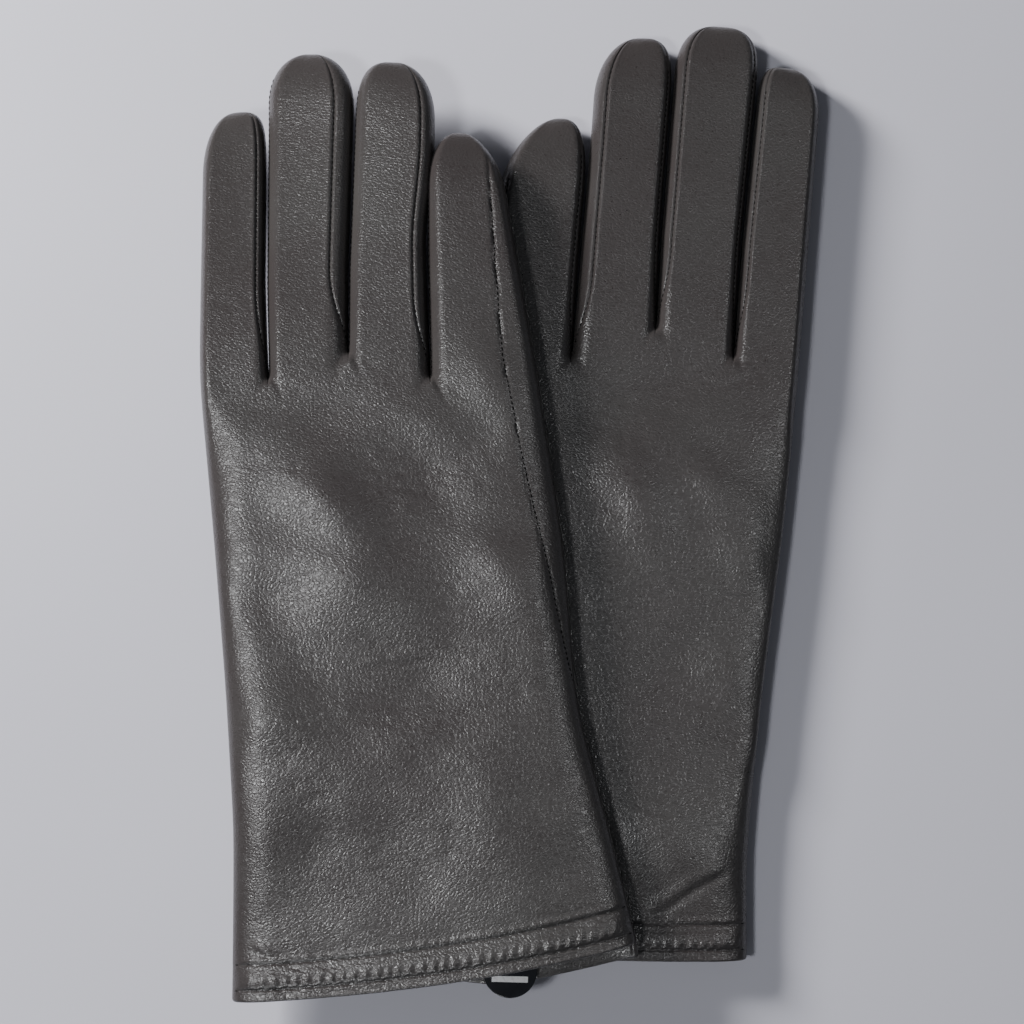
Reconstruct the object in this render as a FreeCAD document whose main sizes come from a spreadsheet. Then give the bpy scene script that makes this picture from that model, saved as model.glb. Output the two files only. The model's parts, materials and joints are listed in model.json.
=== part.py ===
# Pair of men's leather dress gloves, laid flat with backs up, the right glove
# lying over the left one and both thumbs folded in under the palms.
# Frame: +X to the right, +Y towards the fingertips, +Z up off the table.
# Each glove is drawn in its own plan frame, whose +Y is the way its fingers
# point, and its pieces are then turned about Z and lifted to their layer.
import FreeCAD, Part
import math
import os

Vector = FreeCAD.Vector

# Driving sizes in millimetres and degrees, written to the sheet.
LAYERS = {
    "leather": 0.9,          # thickness of the nappa leather
    "lining": 0.7,           # thickness of the knitted lining
    "sleeve_height": 9.4,    # outside height of a glove lying flat
    "layer_gap": 0.3,        # clearance between the two gloves
    "knuckle_gap": 0.3,      # clearance between a finger and the hand
    "finger_gap": 0.8,       # clearance between neighbouring fingers
    "hem_height": 10.0,      # turned hem, edge to upper stitch row
    "hem_row_low": 3.2,      # lower stitch row above the edge
    "thread_width": 0.5,
    "thread_height": 0.25,
    "seam_margin": 1.4,      # finger seam in from the silhouette
    "seam_start": 1.0,       # finger seam starts this far above the root
    "sewn_gap": 0.1,         # clearance between a fourchette and the finger leather
    "side_seam_start": 1.5,  # side seam starts this far below the knuckle line
    "hem_row_end": 3.0,      # hem rows stop this far inside the cuff's corners
    "cuff_bulge": 1.6,       # how far the cuff edge bows down
    "thumb_base_radius": 14.5,
    "thumb_tip_radius": 10.0,
    "thumb_reach": 48.0,     # pivot to the centre of the tip
    "left_thumb_height": 5.0,
    "thumb_floor_gap": 0.2,
    "thumb_clear": 1.0,      # clearance round the folded left thumb
    "thumb_mouth_radius": 9.5,
    "tab_x": 3.1,            # middle of the tab in the right glove's plan frame
    "tab_sewn_y": -110.8,    # line along which the tab is sewn in
    "tab_width": 14.4,
    "tab_thickness": 1.2,
    "tab_reach": 10.8,       # sewn line to the centre of the round end
    "bar_width": 9.6,
    "bar_height": 1.6,
    "bar_thickness": 0.12,
    "bar_setback": 2.88,     # centre of the round end to the bar's far edge
}

# Plan shape of the right glove, whose index finger is on its left.
RIGHT = {
    "turn": 1.4,
    "knuckle_y": 33.0, "knuckle_left": -82.8, "knuckle_right": 7.3,
    "palm_y": -10.0, "palm_left": -77.9, "palm_right": 14.8,
    "wrist_y": -50.0, "wrist_left": -73.8, "wrist_right": 19.0,
    "flare_y": -85.0, "flare_left": -71.0, "flare_right": 29.0,
    "cuff_left": -70.7, "cuff_left_y": -131.9, "cuff_right": 36.6, "cuff_right_y": -112.9,
    "outer_left": -84.0, "outer_right": -4.2,
    "gap_a_root": -65.2, "gap_a_tip": -67.0,
    "gap_b_root": -45.4, "gap_b_tip": -46.6,
    "gap_c_root": -22.2, "gap_c_tip": -22.8,
    "index_tip_y": 104.7, "middle_tip_y": 120.4, "ring_tip_y": 118.2, "little_tip_y": 99.9,
    "thumb_x": -58.0, "thumb_y": -48.0, "thumb_lean": -4.5,
    "seam_top": -1.8, "seam_mid": 8.4, "seam_low": 17.0, "seam_low_y": -45.0,
}

# Plan shape of the left glove, whose index finger is on its right.
LEFT = {
    "turn": 4.8,
    "knuckle_y": 41.5, "knuckle_left": -16.0, "knuckle_right": 74.1,
    "palm_y": 0.0, "palm_left": -21.0, "palm_right": 73.4,
    "wrist_y": -45.0, "wrist_left": -26.5, "wrist_right": 71.3,
    "flare_y": -87.0, "flare_left": -31.5, "flare_right": 71.1,
    "cuff_left": -34.5, "cuff_left_y": -117.5, "cuff_right": 73.5, "cuff_right_y": -114.3,
    "outer_left": -8.6, "outer_right": 73.8,
    "gap_a_root": 11.6, "gap_a_tip": 10.7,
    "gap_b_root": 33.8, "gap_b_tip": 34.0,
    "gap_c_root": 54.8, "gap_c_tip": 56.2,
    "index_tip_y": 124.7, "middle_tip_y": 134.4, "ring_tip_y": 129.6, "little_tip_y": 106.4,
    "thumb_x": 56.0, "thumb_y": -40.0, "thumb_lean": 3.0,
    "seam_top": -7.5, "seam_mid": -16.0, "seam_low": -23.8, "seam_low_y": -38.0,
}

# Fingers of each glove from its left edge to its right edge.
FINGER_ORDER = {
    "right": ("index", "middle", "ring", "little"),
    "left": ("little", "ring", "middle", "index"),
}
GAPS = ("gap_a", "gap_b", "gap_c")
OVERRUN = 30.0        # how far a cutting outline runs past the leather
REACH = 5.0           # how far a hollow runs out of an open end
FINGER_REACH = 2.0    # how far a finger's hollow runs out of its root
STRIP_OVERRUN = 1.0   # how far a slot for a fourchette runs out of the finger's side
CORNER_SHARE = 0.01   # share of the cuff edge that one millimetre of inset takes off
CUFF_OVERRUN = 0.1    # share by which a cutting line runs past the cuff's corners

doc = FreeCAD.newDocument("leather_gloves")
sheet = doc.addObject("Spreadsheet::Sheet", "sizes")


def fill_sheet():
    """Write every driving size to the sheet, one alias to a row."""
    cells = dict(LAYERS)
    for side, plan in (("right", RIGHT), ("left", LEFT)):
        for name, value in plan.items():
            cells[side + "_" + name] = value
    for row, (alias, value) in enumerate(cells.items(), start=1):
        sheet.set("A%d" % row, alias.replace("_", " "))
        sheet.set("B%d" % row, str(value))
        sheet.setAlias("B%d" % row, alias)
    doc.recompute()


def size(alias):
    """Value of one cell of the sheet."""
    return float(sheet.get(alias))


# ---------------------------------------------------------------- outlines

def line(start, end):
    """Straight edge between two plan points."""
    return Part.LineSegment(Vector(start[0], start[1], 0), Vector(end[0], end[1], 0))


def arc(start, middle, end):
    """Circular edge through three plan points."""
    points = [Vector(p[0], p[1], 0) for p in (start, middle, end)]
    return Part.Arc(*points)


def polygon(points):
    """Closed outline of straight edges."""
    return [line(p, q) for p, q in zip(points, points[1:] + points[:1])]


def cuff_stations(inset):
    """Start, middle and end of an inset cuff edge, as shares of its length."""
    return inset * CORNER_SHARE, 0.5, 1.0 - inset * CORNER_SHARE


def cuff_point(side, along, raised=0.0):
    """Point on the bowed cuff edge, 0 at its left corner and 1 at its right one."""
    left = (size(side + "_cuff_left"), size(side + "_cuff_left_y"))
    right = (size(side + "_cuff_right"), size(side + "_cuff_right_y"))
    bow = 4.0 * along * (1.0 - along) * size("cuff_bulge")
    x = left[0] + along * (right[0] - left[0])
    y = left[1] + along * (right[1] - left[1]) - bow + raised
    return x, y


def hand_edge(side, edge, inset):
    """Points down one edge of the hand, from the knuckles to the flare of the cuff."""
    shift = inset if edge == "left" else -inset
    stations = ("knuckle", "palm", "wrist", "flare")
    return [(size("%s_%s_%s" % (side, name, edge)) + shift, size("%s_%s_y" % (side, name)))
            for name in stations]


def recess_notch(side, grow):
    """Corners of the hollow under the palm that takes the folded thumb."""
    plan_x = size(side + "_thumb_x")
    plan_y = size(side + "_thumb_y")
    clear = size("thumb_clear")
    inner = plan_x - size("thumb_base_radius") - clear - grow
    low = plan_y - size("thumb_base_radius") - clear - grow
    high = plan_y + size("thumb_reach") + size("thumb_tip_radius") + clear + grow
    beyond = size(side + "_knuckle_right") + OVERRUN
    return inner, low, high, beyond


def hand_outline(side, inset, reach=0.0):
    """Outline of the hand; reach runs it past the knuckles and the cuff edge."""
    left = hand_edge(side, "left", inset)
    right = hand_edge(side, "right", inset)
    if reach:
        left = [(left[0][0], left[0][1] + reach)] + left
        right = [(right[0][0], right[0][1] + reach)] + right
    low = [cuff_point(side, along, -reach) for along in cuff_stations(inset)]
    edges = [line(p, q) for p, q in zip(left, left[1:] + [low[0]])]
    edges.append(arc(*low))
    upward = [low[2]] + right[::-1] + [left[0]]
    edges += [line(p, q) for p, q in zip(upward, upward[1:])]
    return edges


def on_right_edge(side, inset, height):
    """Point on the right edge of the hand at a height."""
    points = hand_edge(side, "right", inset)
    for upper, lower in zip(points, points[1:]):
        if lower[1] <= height <= upper[1]:
            share = (height - lower[1]) / (upper[1] - lower[1])
            return lower[0] + share * (upper[0] - lower[0]), height
    raise ValueError("the height is outside the hand")


def notched_outline(side, inset):
    """Cavity outline that steps round the thumb recess at the index edge."""
    inner, low, high, _ = recess_notch(side, inset)
    left = hand_edge(side, "left", inset)
    right = hand_edge(side, "right", inset)
    top_left = (left[0][0], left[0][1] + REACH)
    top_right = (right[0][0], right[0][1] + REACH)
    foot = [cuff_point(side, along, -REACH) for along in cuff_stations(inset)]
    down = [top_right, top_left] + left + [foot[0]]
    up = [foot[2], right[3], on_right_edge(side, inset, low), (inner, low), (inner, high),
          on_right_edge(side, inset, high), right[0], top_right]
    edges = [line(p, q) for p, q in zip(down, down[1:])]
    edges.append(arc(*foot))
    return edges + [line(p, q) for p, q in zip(up, up[1:])]


def past_knuckles(side):
    """Everything beyond the knuckle line of a hand."""
    low = size(side + "_knuckle_y")
    left = size(side + "_knuckle_left") - OVERRUN
    right = size(side + "_knuckle_right") + OVERRUN
    return polygon([(left, low), (right, low), (right, low + OVERRUN), (left, low + OVERRUN)])


def beyond_cuff_line(side, raised, far):
    """Region between the cuff edge, raised by a height, and a far level."""
    stations = (-CUFF_OVERRUN, 0.5, 1.0 + CUFF_OVERRUN)
    edge = [cuff_point(side, along, raised) for along in stations]
    far_right = (edge[2][0] + OVERRUN, far)
    far_left = (edge[0][0] - OVERRUN, far)
    return [arc(*edge), line(edge[2], far_right), line(far_right, far_left),
            line(far_left, edge[0])]


def past_cuff(side, raised):
    """Everything below the cuff edge, once that edge is raised by a height."""
    return beyond_cuff_line(side, raised, size(side + "_cuff_left_y") - OVERRUN)


def above_hem(side):
    """Everything above the upper edge of the hem."""
    return beyond_cuff_line(side, size("hem_height"), size(side + "_knuckle_y") + OVERRUN)


def finger_sides(side, finger):
    """Left and right lines of a finger as (root x, tip x) pairs."""
    order = FINGER_ORDER[side]
    place = order.index(finger)
    half_gap = size("finger_gap") / 2.0
    if place == 0:
        left = (size(side + "_knuckle_left"), size(side + "_outer_left"))
    else:
        gap = side + "_" + GAPS[place - 1]
        left = (size(gap + "_root") + half_gap, size(gap + "_tip") + half_gap)
    if place == 3:
        right = (size(side + "_knuckle_right"), size(side + "_outer_right"))
    else:
        gap = side + "_" + GAPS[place]
        right = (size(gap + "_root") - half_gap, size(gap + "_tip") - half_gap)
    return left, right


def finger_levels(side, finger):
    """Root, shoulder and tip heights of a finger in the plan frame."""
    left, right = finger_sides(side, finger)
    root = size(side + "_knuckle_y") + size("knuckle_gap")
    tip = size("%s_%s_tip_y" % (side, finger))
    shoulder = tip - (right[1] - left[1]) / 2.0
    return root, shoulder, tip


def side_x(line_x, levels, height):
    """X of a finger's side line at a height; it is straight from root to shoulder."""
    root, shoulder, _ = levels
    return line_x[0] + (line_x[1] - line_x[0]) * (height - root) / (shoulder - root)


def finger_outline(side, finger, inset, reach=0.0):
    """Tapered finger with a round tip; reach runs its open end past the root."""
    left, right = finger_sides(side, finger)
    levels = finger_levels(side, finger)
    root, shoulder, tip = levels
    low = root - reach
    low_left = (side_x(left, levels, low) + inset, low)
    low_right = (side_x(right, levels, low) - inset, low)
    top_left = (left[1] + inset, shoulder)
    top_right = (right[1] - inset, shoulder)
    apex = ((left[1] + right[1]) / 2.0, tip - inset)
    return [line(low_left, top_left), arc(top_left, apex, top_right),
            line(top_right, low_right), line(low_right, low_left)]


def side_strip(side, finger, edge, outward, inward, reach=0.0):
    """Strip along one side of a finger, from its root to its shoulder."""
    left, right = finger_sides(side, finger)
    levels = finger_levels(side, finger)
    root, shoulder, _ = levels
    low = root - reach
    line_x, way = (left, 1.0) if edge == "left" else (right, -1.0)
    outer, inner = -outward * way, inward * way
    low_x = side_x(line_x, levels, low)
    return polygon([(low_x + outer, low), (line_x[1] + outer, shoulder),
                    (line_x[1] + inner, shoulder), (low_x + inner, low)])


def thumb_frame(side):
    """Pivot point and unit direction of the folded thumb in plan."""
    lean = math.radians(size(side + "_thumb_lean"))
    pivot = Vector(size(side + "_thumb_x"), size(side + "_thumb_y"), 0)
    return pivot, Vector(math.sin(lean), math.cos(lean), 0)


def thumb_outline(side, inset):
    """Two round ends joined by their common tangents."""
    pivot, along = thumb_frame(side)
    across = Vector(along.y, -along.x, 0)
    base = size("thumb_base_radius") - inset
    tip = size("thumb_tip_radius") - inset
    reach = size("thumb_reach")
    tip_centre = pivot + along * reach
    sine = (base - tip) / reach
    cosine = math.sqrt(1.0 - sine * sine)
    right_way = across * cosine + along * sine
    left_way = across * -cosine + along * sine
    base_right = pivot + right_way * base
    base_left = pivot + left_way * base
    tip_right = tip_centre + right_way * tip
    tip_left = tip_centre + left_way * tip
    return [Part.LineSegment(base_left, tip_left),
            Part.Arc(tip_left, tip_centre + along * tip, tip_right),
            Part.LineSegment(tip_right, base_right),
            Part.Arc(base_right, pivot - along * base, base_left)]


def thumb_mouth(side):
    """Round hole where the thumb and the hand open into each other."""
    pivot, _ = thumb_frame(side)
    return [Part.Circle(pivot, Vector(0, 0, 1), size("thumb_mouth_radius"))]


# ---------------------------------------------------------------- features

def new_body(name):
    """Empty PartDesign body whose label is the name of its piece."""
    body = doc.addObject("PartDesign::Body", name)
    body.Label = name
    return body


def sketch_at(body, edges, height):
    """Sketch on the body's own XY plane, raised to the height expression."""
    plane = [f for f in body.Origin.OriginFeatures if f.Role == "XY_Plane"][0]
    sketch = body.newObject("Sketcher::SketchObject", body.Name + "_sketch")
    sketch.AttachmentSupport = (plane, [""])
    sketch.MapMode = "FlatFace"
    sketch.setExpression("AttachmentOffset.Base.z", height)
    for edge in edges:
        sketch.addGeometry(edge, False)
    sketch.Visibility = False
    return sketch


def pad(body, edges, bottom, thickness):
    """Solid from the bottom expression upwards by the thickness expression."""
    feature = body.newObject("PartDesign::Pad", body.Name + "_pad")
    feature.Profile = sketch_at(body, edges, bottom)
    feature.setExpression("Length", thickness)
    return feature


def pocket(body, edges, top, depth):
    """Hollow from the top expression downwards by the depth expression."""
    feature = body.newObject("PartDesign::Pocket", body.Name + "_pocket")
    feature.Profile = sketch_at(body, edges, top)
    feature.setExpression("Length", depth)
    return feature


def expression(text):
    """Turn words of a size formula into references to the sheet."""
    words = []
    for word in text.split():
        words.append("sizes." + word if word[0].isalpha() else word)
    return " ".join(words)


# ---------------------------------------------------------------- hand pieces

RECESS_ROOF = "left_thumb_height + layer_gap"


def sleeve(body, side, depth_words, wall_word):
    """Flat tube of the hand: one wall thick, at a depth inside the outer skin."""
    inset = sum(size(word) for word in depth_words)
    bottom = " + ".join(depth_words) or "0"
    height = "sleeve_height - 2 * ( %s )" % bottom
    reach = REACH if depth_words else 0.0
    pad(body, hand_outline(side, inset, reach), expression(bottom), expression(height))
    deeper = inset + size(wall_word)
    top = "sleeve_height - ( %s ) - %s" % (bottom, wall_word)
    if side == "right":
        depth = "sleeve_height - 2 * ( %s + %s )" % (bottom, wall_word)
        pocket(body, hand_outline(side, deeper, REACH), expression(top), expression(depth))
        return
    roof = "%s + %s + %s" % (RECESS_ROOF, bottom, wall_word)
    pocket(body, hand_outline(side, deeper, REACH), expression(top),
           expression("%s - ( %s )" % (top, roof)))
    pocket(body, notched_outline(side, deeper), expression(roof), expression(RECESS_ROOF))
    inner, low, high, beyond = recess_notch(side, inset)
    notch = polygon([(inner, low), (beyond, low), (beyond, high), (inner, high)])
    recess = expression("%s + %s" % (RECESS_ROOF, bottom))
    pocket(body, notch, recess, recess)


def cut_thumb_hole(body, side):
    """Round hole in the palm through which the thumb opens into the hand."""
    walls = "leather + lining"
    top = walls if side == "right" else "%s + %s" % (RECESS_ROOF, walls)
    pocket(body, thumb_mouth(side), expression(top), expression(walls))


def make_trank(side):
    """Main skin of the hand, wrapped round both edges, from cuff to knuckles."""
    body = new_body(side + "_trank")
    sleeve(body, side, [], "leather")
    cut_thumb_hole(body, side)
    return body


def trim(body, outline):
    """Cut a piece away over its whole height inside an outline."""
    pocket(body, outline, expression("sleeve_height"), expression("sleeve_height"))


def make_hand_lining(side):
    """Knitted lining of the hand, from the hem to the knuckles."""
    body = new_body(side + "_hand_lining")
    sleeve(body, side, ["leather"], "lining")
    trim(body, past_knuckles(side))
    trim(body, past_cuff(side, size("hem_height")))
    cut_thumb_hole(body, side)
    return body


def cuff_band(side, inset, low, high):
    """Band that follows the bowed cuff edge between two heights above it."""
    stations = cuff_stations(inset)
    lower = [cuff_point(side, along, low) for along in stations]
    upper = [cuff_point(side, along, high) for along in stations]
    return [arc(*lower), line(lower[2], upper[2]), arc(*upper[::-1]), line(upper[0], lower[0])]


def make_hem_facing(side):
    """Turned-in leather of the hem, sewn down round the inside of the mouth."""
    body = new_body(side + "_hem_facing")
    leather = size("leather")
    pad(body, hand_outline(side, leather, REACH), expression("leather"),
        expression("sleeve_height - 2 * leather"))
    pocket(body, hand_outline(side, leather + size("lining"), REACH),
           expression("sleeve_height - leather - lining"),
           expression("sleeve_height - 2 * ( leather + lining )"))
    trim(body, above_hem(side))
    trim(body, past_cuff(side, 0.0))
    return body


def make_hem_stitching(side):
    """Two rows of sewing round the back of the hem."""
    body = new_body(side + "_hem_stitching")
    width = size("thread_width")
    for height in (size("hem_row_low"), size("hem_height")):
        band = cuff_band(side, size("hem_row_end"), height - width / 2.0, height + width / 2.0)
        pad(body, band, expression("sleeve_height"), expression("thread_height"))
    return body


def make_side_seam(side):
    """Seam of the trank down the back beside the little-finger edge."""
    body = new_body(side + "_side_seam")
    top_y = size(side + "_knuckle_y") - size("side_seam_start")
    low_y = size(side + "_seam_low_y")
    half = size("thread_width") / 2.0
    xs = [size(side + "_seam_top"), size(side + "_seam_mid"), size(side + "_seam_low")]
    ys = [top_y, (top_y + low_y) / 2.0, low_y]
    left = [(x - half, y) for x, y in zip(xs, ys)]
    right = [(x + half, y) for x, y in zip(xs, ys)]
    edges = [arc(*left), line(left[2], right[2]), arc(*right[::-1]), line(right[0], left[0])]
    pad(body, edges, expression("sleeve_height"), expression("thread_height"))
    return body


def make_thumb(side):
    """Thumb sleeve and its lining, folded flat under the palm."""
    thumb = new_body(side + "_thumb")
    lining = new_body(side + "_thumb_lining")
    if side == "right":
        bottom = "thumb_floor_gap - ( sleeve_height + layer_gap )"
        height = "sleeve_height - thumb_floor_gap"
    else:
        bottom = "0"
        height = "left_thumb_height"
    leather = size("leather")
    wall = size("lining")
    pad(thumb, thumb_outline(side, 0.0), expression(bottom), expression(height))
    pocket(thumb, thumb_outline(side, leather),
           expression("%s + %s - leather" % (bottom, height)),
           expression("%s - 2 * leather" % height))
    pad(lining, thumb_outline(side, leather), expression("%s + leather" % bottom),
        expression("%s - 2 * leather" % height))
    pocket(lining, thumb_outline(side, leather + wall),
           expression("%s + %s - leather - lining" % (bottom, height)),
           expression("%s - 2 * ( leather + lining )" % height))
    mouth = thumb_mouth(side)
    for body in (thumb, lining):
        pocket(body, mouth, expression("%s + %s" % (bottom, height)),
               expression("leather + lining"))
    return [thumb, lining]


# ---------------------------------------------------------------- finger pieces

def fourchette_edges(side, finger):
    """Sides of a finger that carry a fourchette: those that face a neighbour."""
    place = FINGER_ORDER[side].index(finger)
    edges = []
    if place > 0:
        edges.append("left")
    if place < 3:
        edges.append("right")
    return edges


def neighbour(side, finger, edge):
    """Finger that lies beside this one on the given edge."""
    step = -1 if edge == "left" else 1
    return FINGER_ORDER[side][FINGER_ORDER[side].index(finger) + step]


def make_finger(side, finger):
    """Back and palm leather of one finger, its fourchettes, lining and seams."""
    stem = side + "_" + finger
    leather = size("leather")
    inside = expression("sleeve_height - 2 * leather")
    roof = expression("sleeve_height - leather")
    skin = new_body(stem + "_finger")
    pad(skin, finger_outline(side, finger, 0.0), "0", expression("sleeve_height"))
    pocket(skin, finger_outline(side, finger, leather, FINGER_REACH), roof, inside)
    pieces = [skin]
    for edge in fourchette_edges(side, finger):
        slot = side_strip(side, finger, edge, STRIP_OVERRUN, leather + size("sewn_gap"),
                          FINGER_REACH)
        pocket(skin, slot, roof, inside)
        strip = new_body("%s_fourchette_%s_side" % (stem, neighbour(side, finger, edge)))
        pad(strip, side_strip(side, finger, edge, 0.0, leather),
            expression("leather"), inside)
        pieces.append(strip)
    pieces.append(make_finger_lining(side, finger))
    pieces.append(make_finger_stitching(side, finger))
    return pieces


def make_finger_lining(side, finger):
    """Knitted sleeve inside one finger, closed at the tip."""
    body = new_body("%s_%s_lining" % (side, finger))
    leather = size("leather")
    wall = size("lining")
    pad(body, finger_outline(side, finger, leather), expression("leather"),
        expression("sleeve_height - 2 * leather"))
    pocket(body, finger_outline(side, finger, leather + wall, FINGER_REACH),
           expression("sleeve_height - leather - lining"),
           expression("sleeve_height - 2 * ( leather + lining )"))
    return body


def make_finger_stitching(side, finger):
    """Seams that sew the fourchettes to the back of one finger."""
    body = new_body("%s_%s_stitching" % (side, finger))
    near = size("seam_margin")
    far = near + size("thread_width")
    start = size("seam_start")
    for edge in fourchette_edges(side, finger):
        pad(body, side_strip(side, finger, edge, -near, far, -start),
            expression("sleeve_height"), expression("thread_height"))
    return body


# ---------------------------------------------------------------- tab

def make_tab():
    """Round-ended tab sewn inside the right cuff, with its plain bright bar."""
    tab = new_body("right_tab")
    bar = new_body("right_tab_bar")
    middle = size("tab_x")
    sewn = size("tab_sewn_y")
    half = size("tab_width") / 2.0
    low = sewn - size("tab_reach")
    left, right = middle - half, middle + half
    edges = [line((left, sewn), (left, low)), arc((left, low), (middle, low - half), (right, low)),
             line((right, low), (right, sewn)), line((right, sewn), (left, sewn))]
    bottom = "leather + lining + layer_gap"
    pad(tab, edges, expression(bottom), expression("tab_thickness"))
    half_bar = size("bar_width") / 2.0
    bar_low = low - size("bar_setback")
    bar_high = bar_low + size("bar_height")
    corners = [(middle - half_bar, bar_low), (middle + half_bar, bar_low),
               (middle + half_bar, bar_high), (middle - half_bar, bar_high)]
    pad(bar, polygon(corners), expression(bottom + " + tab_thickness"),
        expression("bar_thickness"))
    return [tab, bar]


# ---------------------------------------------------------------- the pair

def make_glove(side):
    """Every piece of one glove, in its own plan frame at height zero."""
    pieces = [make_trank(side), make_hand_lining(side), make_hem_facing(side),
              make_hem_stitching(side), make_side_seam(side)]
    pieces += make_thumb(side)
    for finger in FINGER_ORDER[side]:
        pieces += make_finger(side, finger)
    return pieces


def lay_down(pieces, side):
    """Turn a glove's pieces to the way its fingers point and lift them."""
    turn = FreeCAD.Rotation(Vector(0, 0, 1), -size(side + "_turn"))
    lift = size("sleeve_height") + size("layer_gap") if side == "right" else 0.0
    for piece in pieces:
        piece.Placement = FreeCAD.Placement(Vector(0, 0, lift), turn)


def centre_on_origin(pieces):
    """Move the pair so that its plan box is centred on the origin."""
    box = FreeCAD.BoundBox()
    for piece in pieces:
        box.add(piece.Shape.optimalBoundingBox())
    shift = Vector(-box.Center.x, -box.Center.y, 0)
    for piece in pieces:
        piece.Placement.Base = piece.Placement.Base + shift
    return shift


def check_document():
    """Stop if any object failed or any piece's shape is not a valid solid."""
    for item in doc.Objects:
        if "Invalid" in item.State or "Error" in item.State:
            raise RuntimeError("%s did not compute: %s" % (item.Label, item.State))
    for piece in PIECES:
        shape = piece.Shape
        if shape.isNull() or not shape.isValid() or not shape.Solids:
            raise RuntimeError(piece.Label + " has no valid solid")


def export_pieces():
    """Write each piece to a file of its own name."""
    os.makedirs("parts", exist_ok=True)
    for piece in PIECES:
        piece.Shape.exportStep("parts/%s.step" % piece.Label)


fill_sheet()
LEFT_PIECES = make_glove("left")
RIGHT_PIECES = make_glove("right") + make_tab()
PIECES = LEFT_PIECES + RIGHT_PIECES
lay_down(LEFT_PIECES, "left")
lay_down(RIGHT_PIECES, "right")
doc.recompute()
SHIFT = centre_on_origin(PIECES)
doc.recompute()
check_document()
export_pieces()
print("pieces", len(PIECES), "moved by", SHIFT)
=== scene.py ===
"""Pair of leather dress gloves, laid flat with the backs up, one over the other."""
import json
import math

import bmesh
import bpy
import numpy as np
from bpy.props import FloatProperty, FloatVectorProperty, IntProperty, PointerProperty
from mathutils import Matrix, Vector


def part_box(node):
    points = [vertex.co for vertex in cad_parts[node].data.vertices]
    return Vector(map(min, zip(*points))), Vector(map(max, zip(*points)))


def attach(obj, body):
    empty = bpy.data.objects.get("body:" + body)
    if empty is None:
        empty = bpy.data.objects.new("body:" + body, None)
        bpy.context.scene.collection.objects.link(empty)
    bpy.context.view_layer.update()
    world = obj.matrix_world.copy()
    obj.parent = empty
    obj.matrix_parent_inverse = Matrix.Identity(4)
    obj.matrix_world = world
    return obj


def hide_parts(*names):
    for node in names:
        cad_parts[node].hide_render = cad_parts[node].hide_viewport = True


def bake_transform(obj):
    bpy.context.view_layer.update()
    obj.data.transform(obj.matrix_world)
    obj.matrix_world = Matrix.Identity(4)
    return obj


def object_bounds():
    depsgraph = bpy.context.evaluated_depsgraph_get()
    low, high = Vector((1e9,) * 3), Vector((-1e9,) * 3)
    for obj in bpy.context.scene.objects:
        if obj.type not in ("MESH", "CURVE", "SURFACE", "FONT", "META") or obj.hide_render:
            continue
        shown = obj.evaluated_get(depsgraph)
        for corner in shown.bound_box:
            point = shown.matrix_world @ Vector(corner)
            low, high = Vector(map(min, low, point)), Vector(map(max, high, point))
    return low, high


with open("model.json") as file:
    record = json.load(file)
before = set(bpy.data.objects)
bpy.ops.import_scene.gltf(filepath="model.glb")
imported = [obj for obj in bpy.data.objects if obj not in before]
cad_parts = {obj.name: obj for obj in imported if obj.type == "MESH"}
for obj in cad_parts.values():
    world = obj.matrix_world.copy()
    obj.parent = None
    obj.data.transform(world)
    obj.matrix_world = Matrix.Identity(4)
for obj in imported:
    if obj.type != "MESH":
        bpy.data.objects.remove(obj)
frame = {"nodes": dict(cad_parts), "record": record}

bl_info = {
    "name": "Leather Dress Gloves",
    "version": (1, 0, 0),
    "blender": (4, 5, 0),
    "location": "View3D > Sidebar > Gloves",
    "description": "Builds a pair of lined leather dress gloves around a fixed frame",
    "category": "Add Mesh",
}

CAD_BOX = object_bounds()
JOINTS = {joint["name"]: joint for joint in frame["record"]["behaviour"]["joints"]}
MM = 0.001
SIDES = ("left", "right")
WELD = 2e-6     # points closer than this are merged, m

# Side seam: heights above the knuckle line and how far it lies inside the outer edge, mm.
SEAM_RISES = (-79.0, -73.6, -60.7, -32.8, -15.9, 7.9, 32.9, 58.8)
SEAM_INSETS = (0.4, 1.3, 3.1, 6.4, 7.7, 8.6, 6.2, 3.4)

# Soft swells of the back: middle x and y, half length, half width, turn in degrees, rise; mm.
SWELLS = {
    "right": (
        (-50.0, 3.0, 17.0, 8.0, -38.0, 1.6), (-42.0, -17.0, 16.0, 8.0, -25.0, 1.1),
        (-4.0, 32.0, 15.0, 8.0, -58.0, 1.1), (-2.0, -15.0, 18.0, 9.0, -50.0, 1.2),
        (-62.0, -54.0, 14.0, 9.0, -12.0, 1.4), (26.0, -60.0, 15.0, 7.0, -70.0, 0.9),
        (-64.0, -24.0, 9.0, 8.0, -20.0, -1.0), (-22.0, 8.0, 17.0, 9.0, -35.0, -1.0),
        (-28.0, -46.0, 26.0, 10.0, -8.0, -0.9), (-34.0, -92.0, 24.0, 13.0, 0.0, -0.7),
        (-6.0, -80.0, 14.0, 9.0, -35.0, 0.6),
    ),
    "left": (
        (35.0, 2.0, 17.0, 8.0, -62.0, 1.4), (55.0, 7.0, 14.0, 7.0, -42.0, 1.1),
        (63.0, -13.0, 12.0, 6.0, -35.0, 0.8), (43.0, -88.0, 14.0, 9.0, -40.0, 1.0),
        (45.0, -42.0, 16.0, 11.0, -20.0, -0.9), (42.0, 34.0, 15.0, 8.0, 0.0, -0.5),
        (60.0, -66.0, 10.0, 14.0, 0.0, -0.6),
    ),
}

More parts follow.
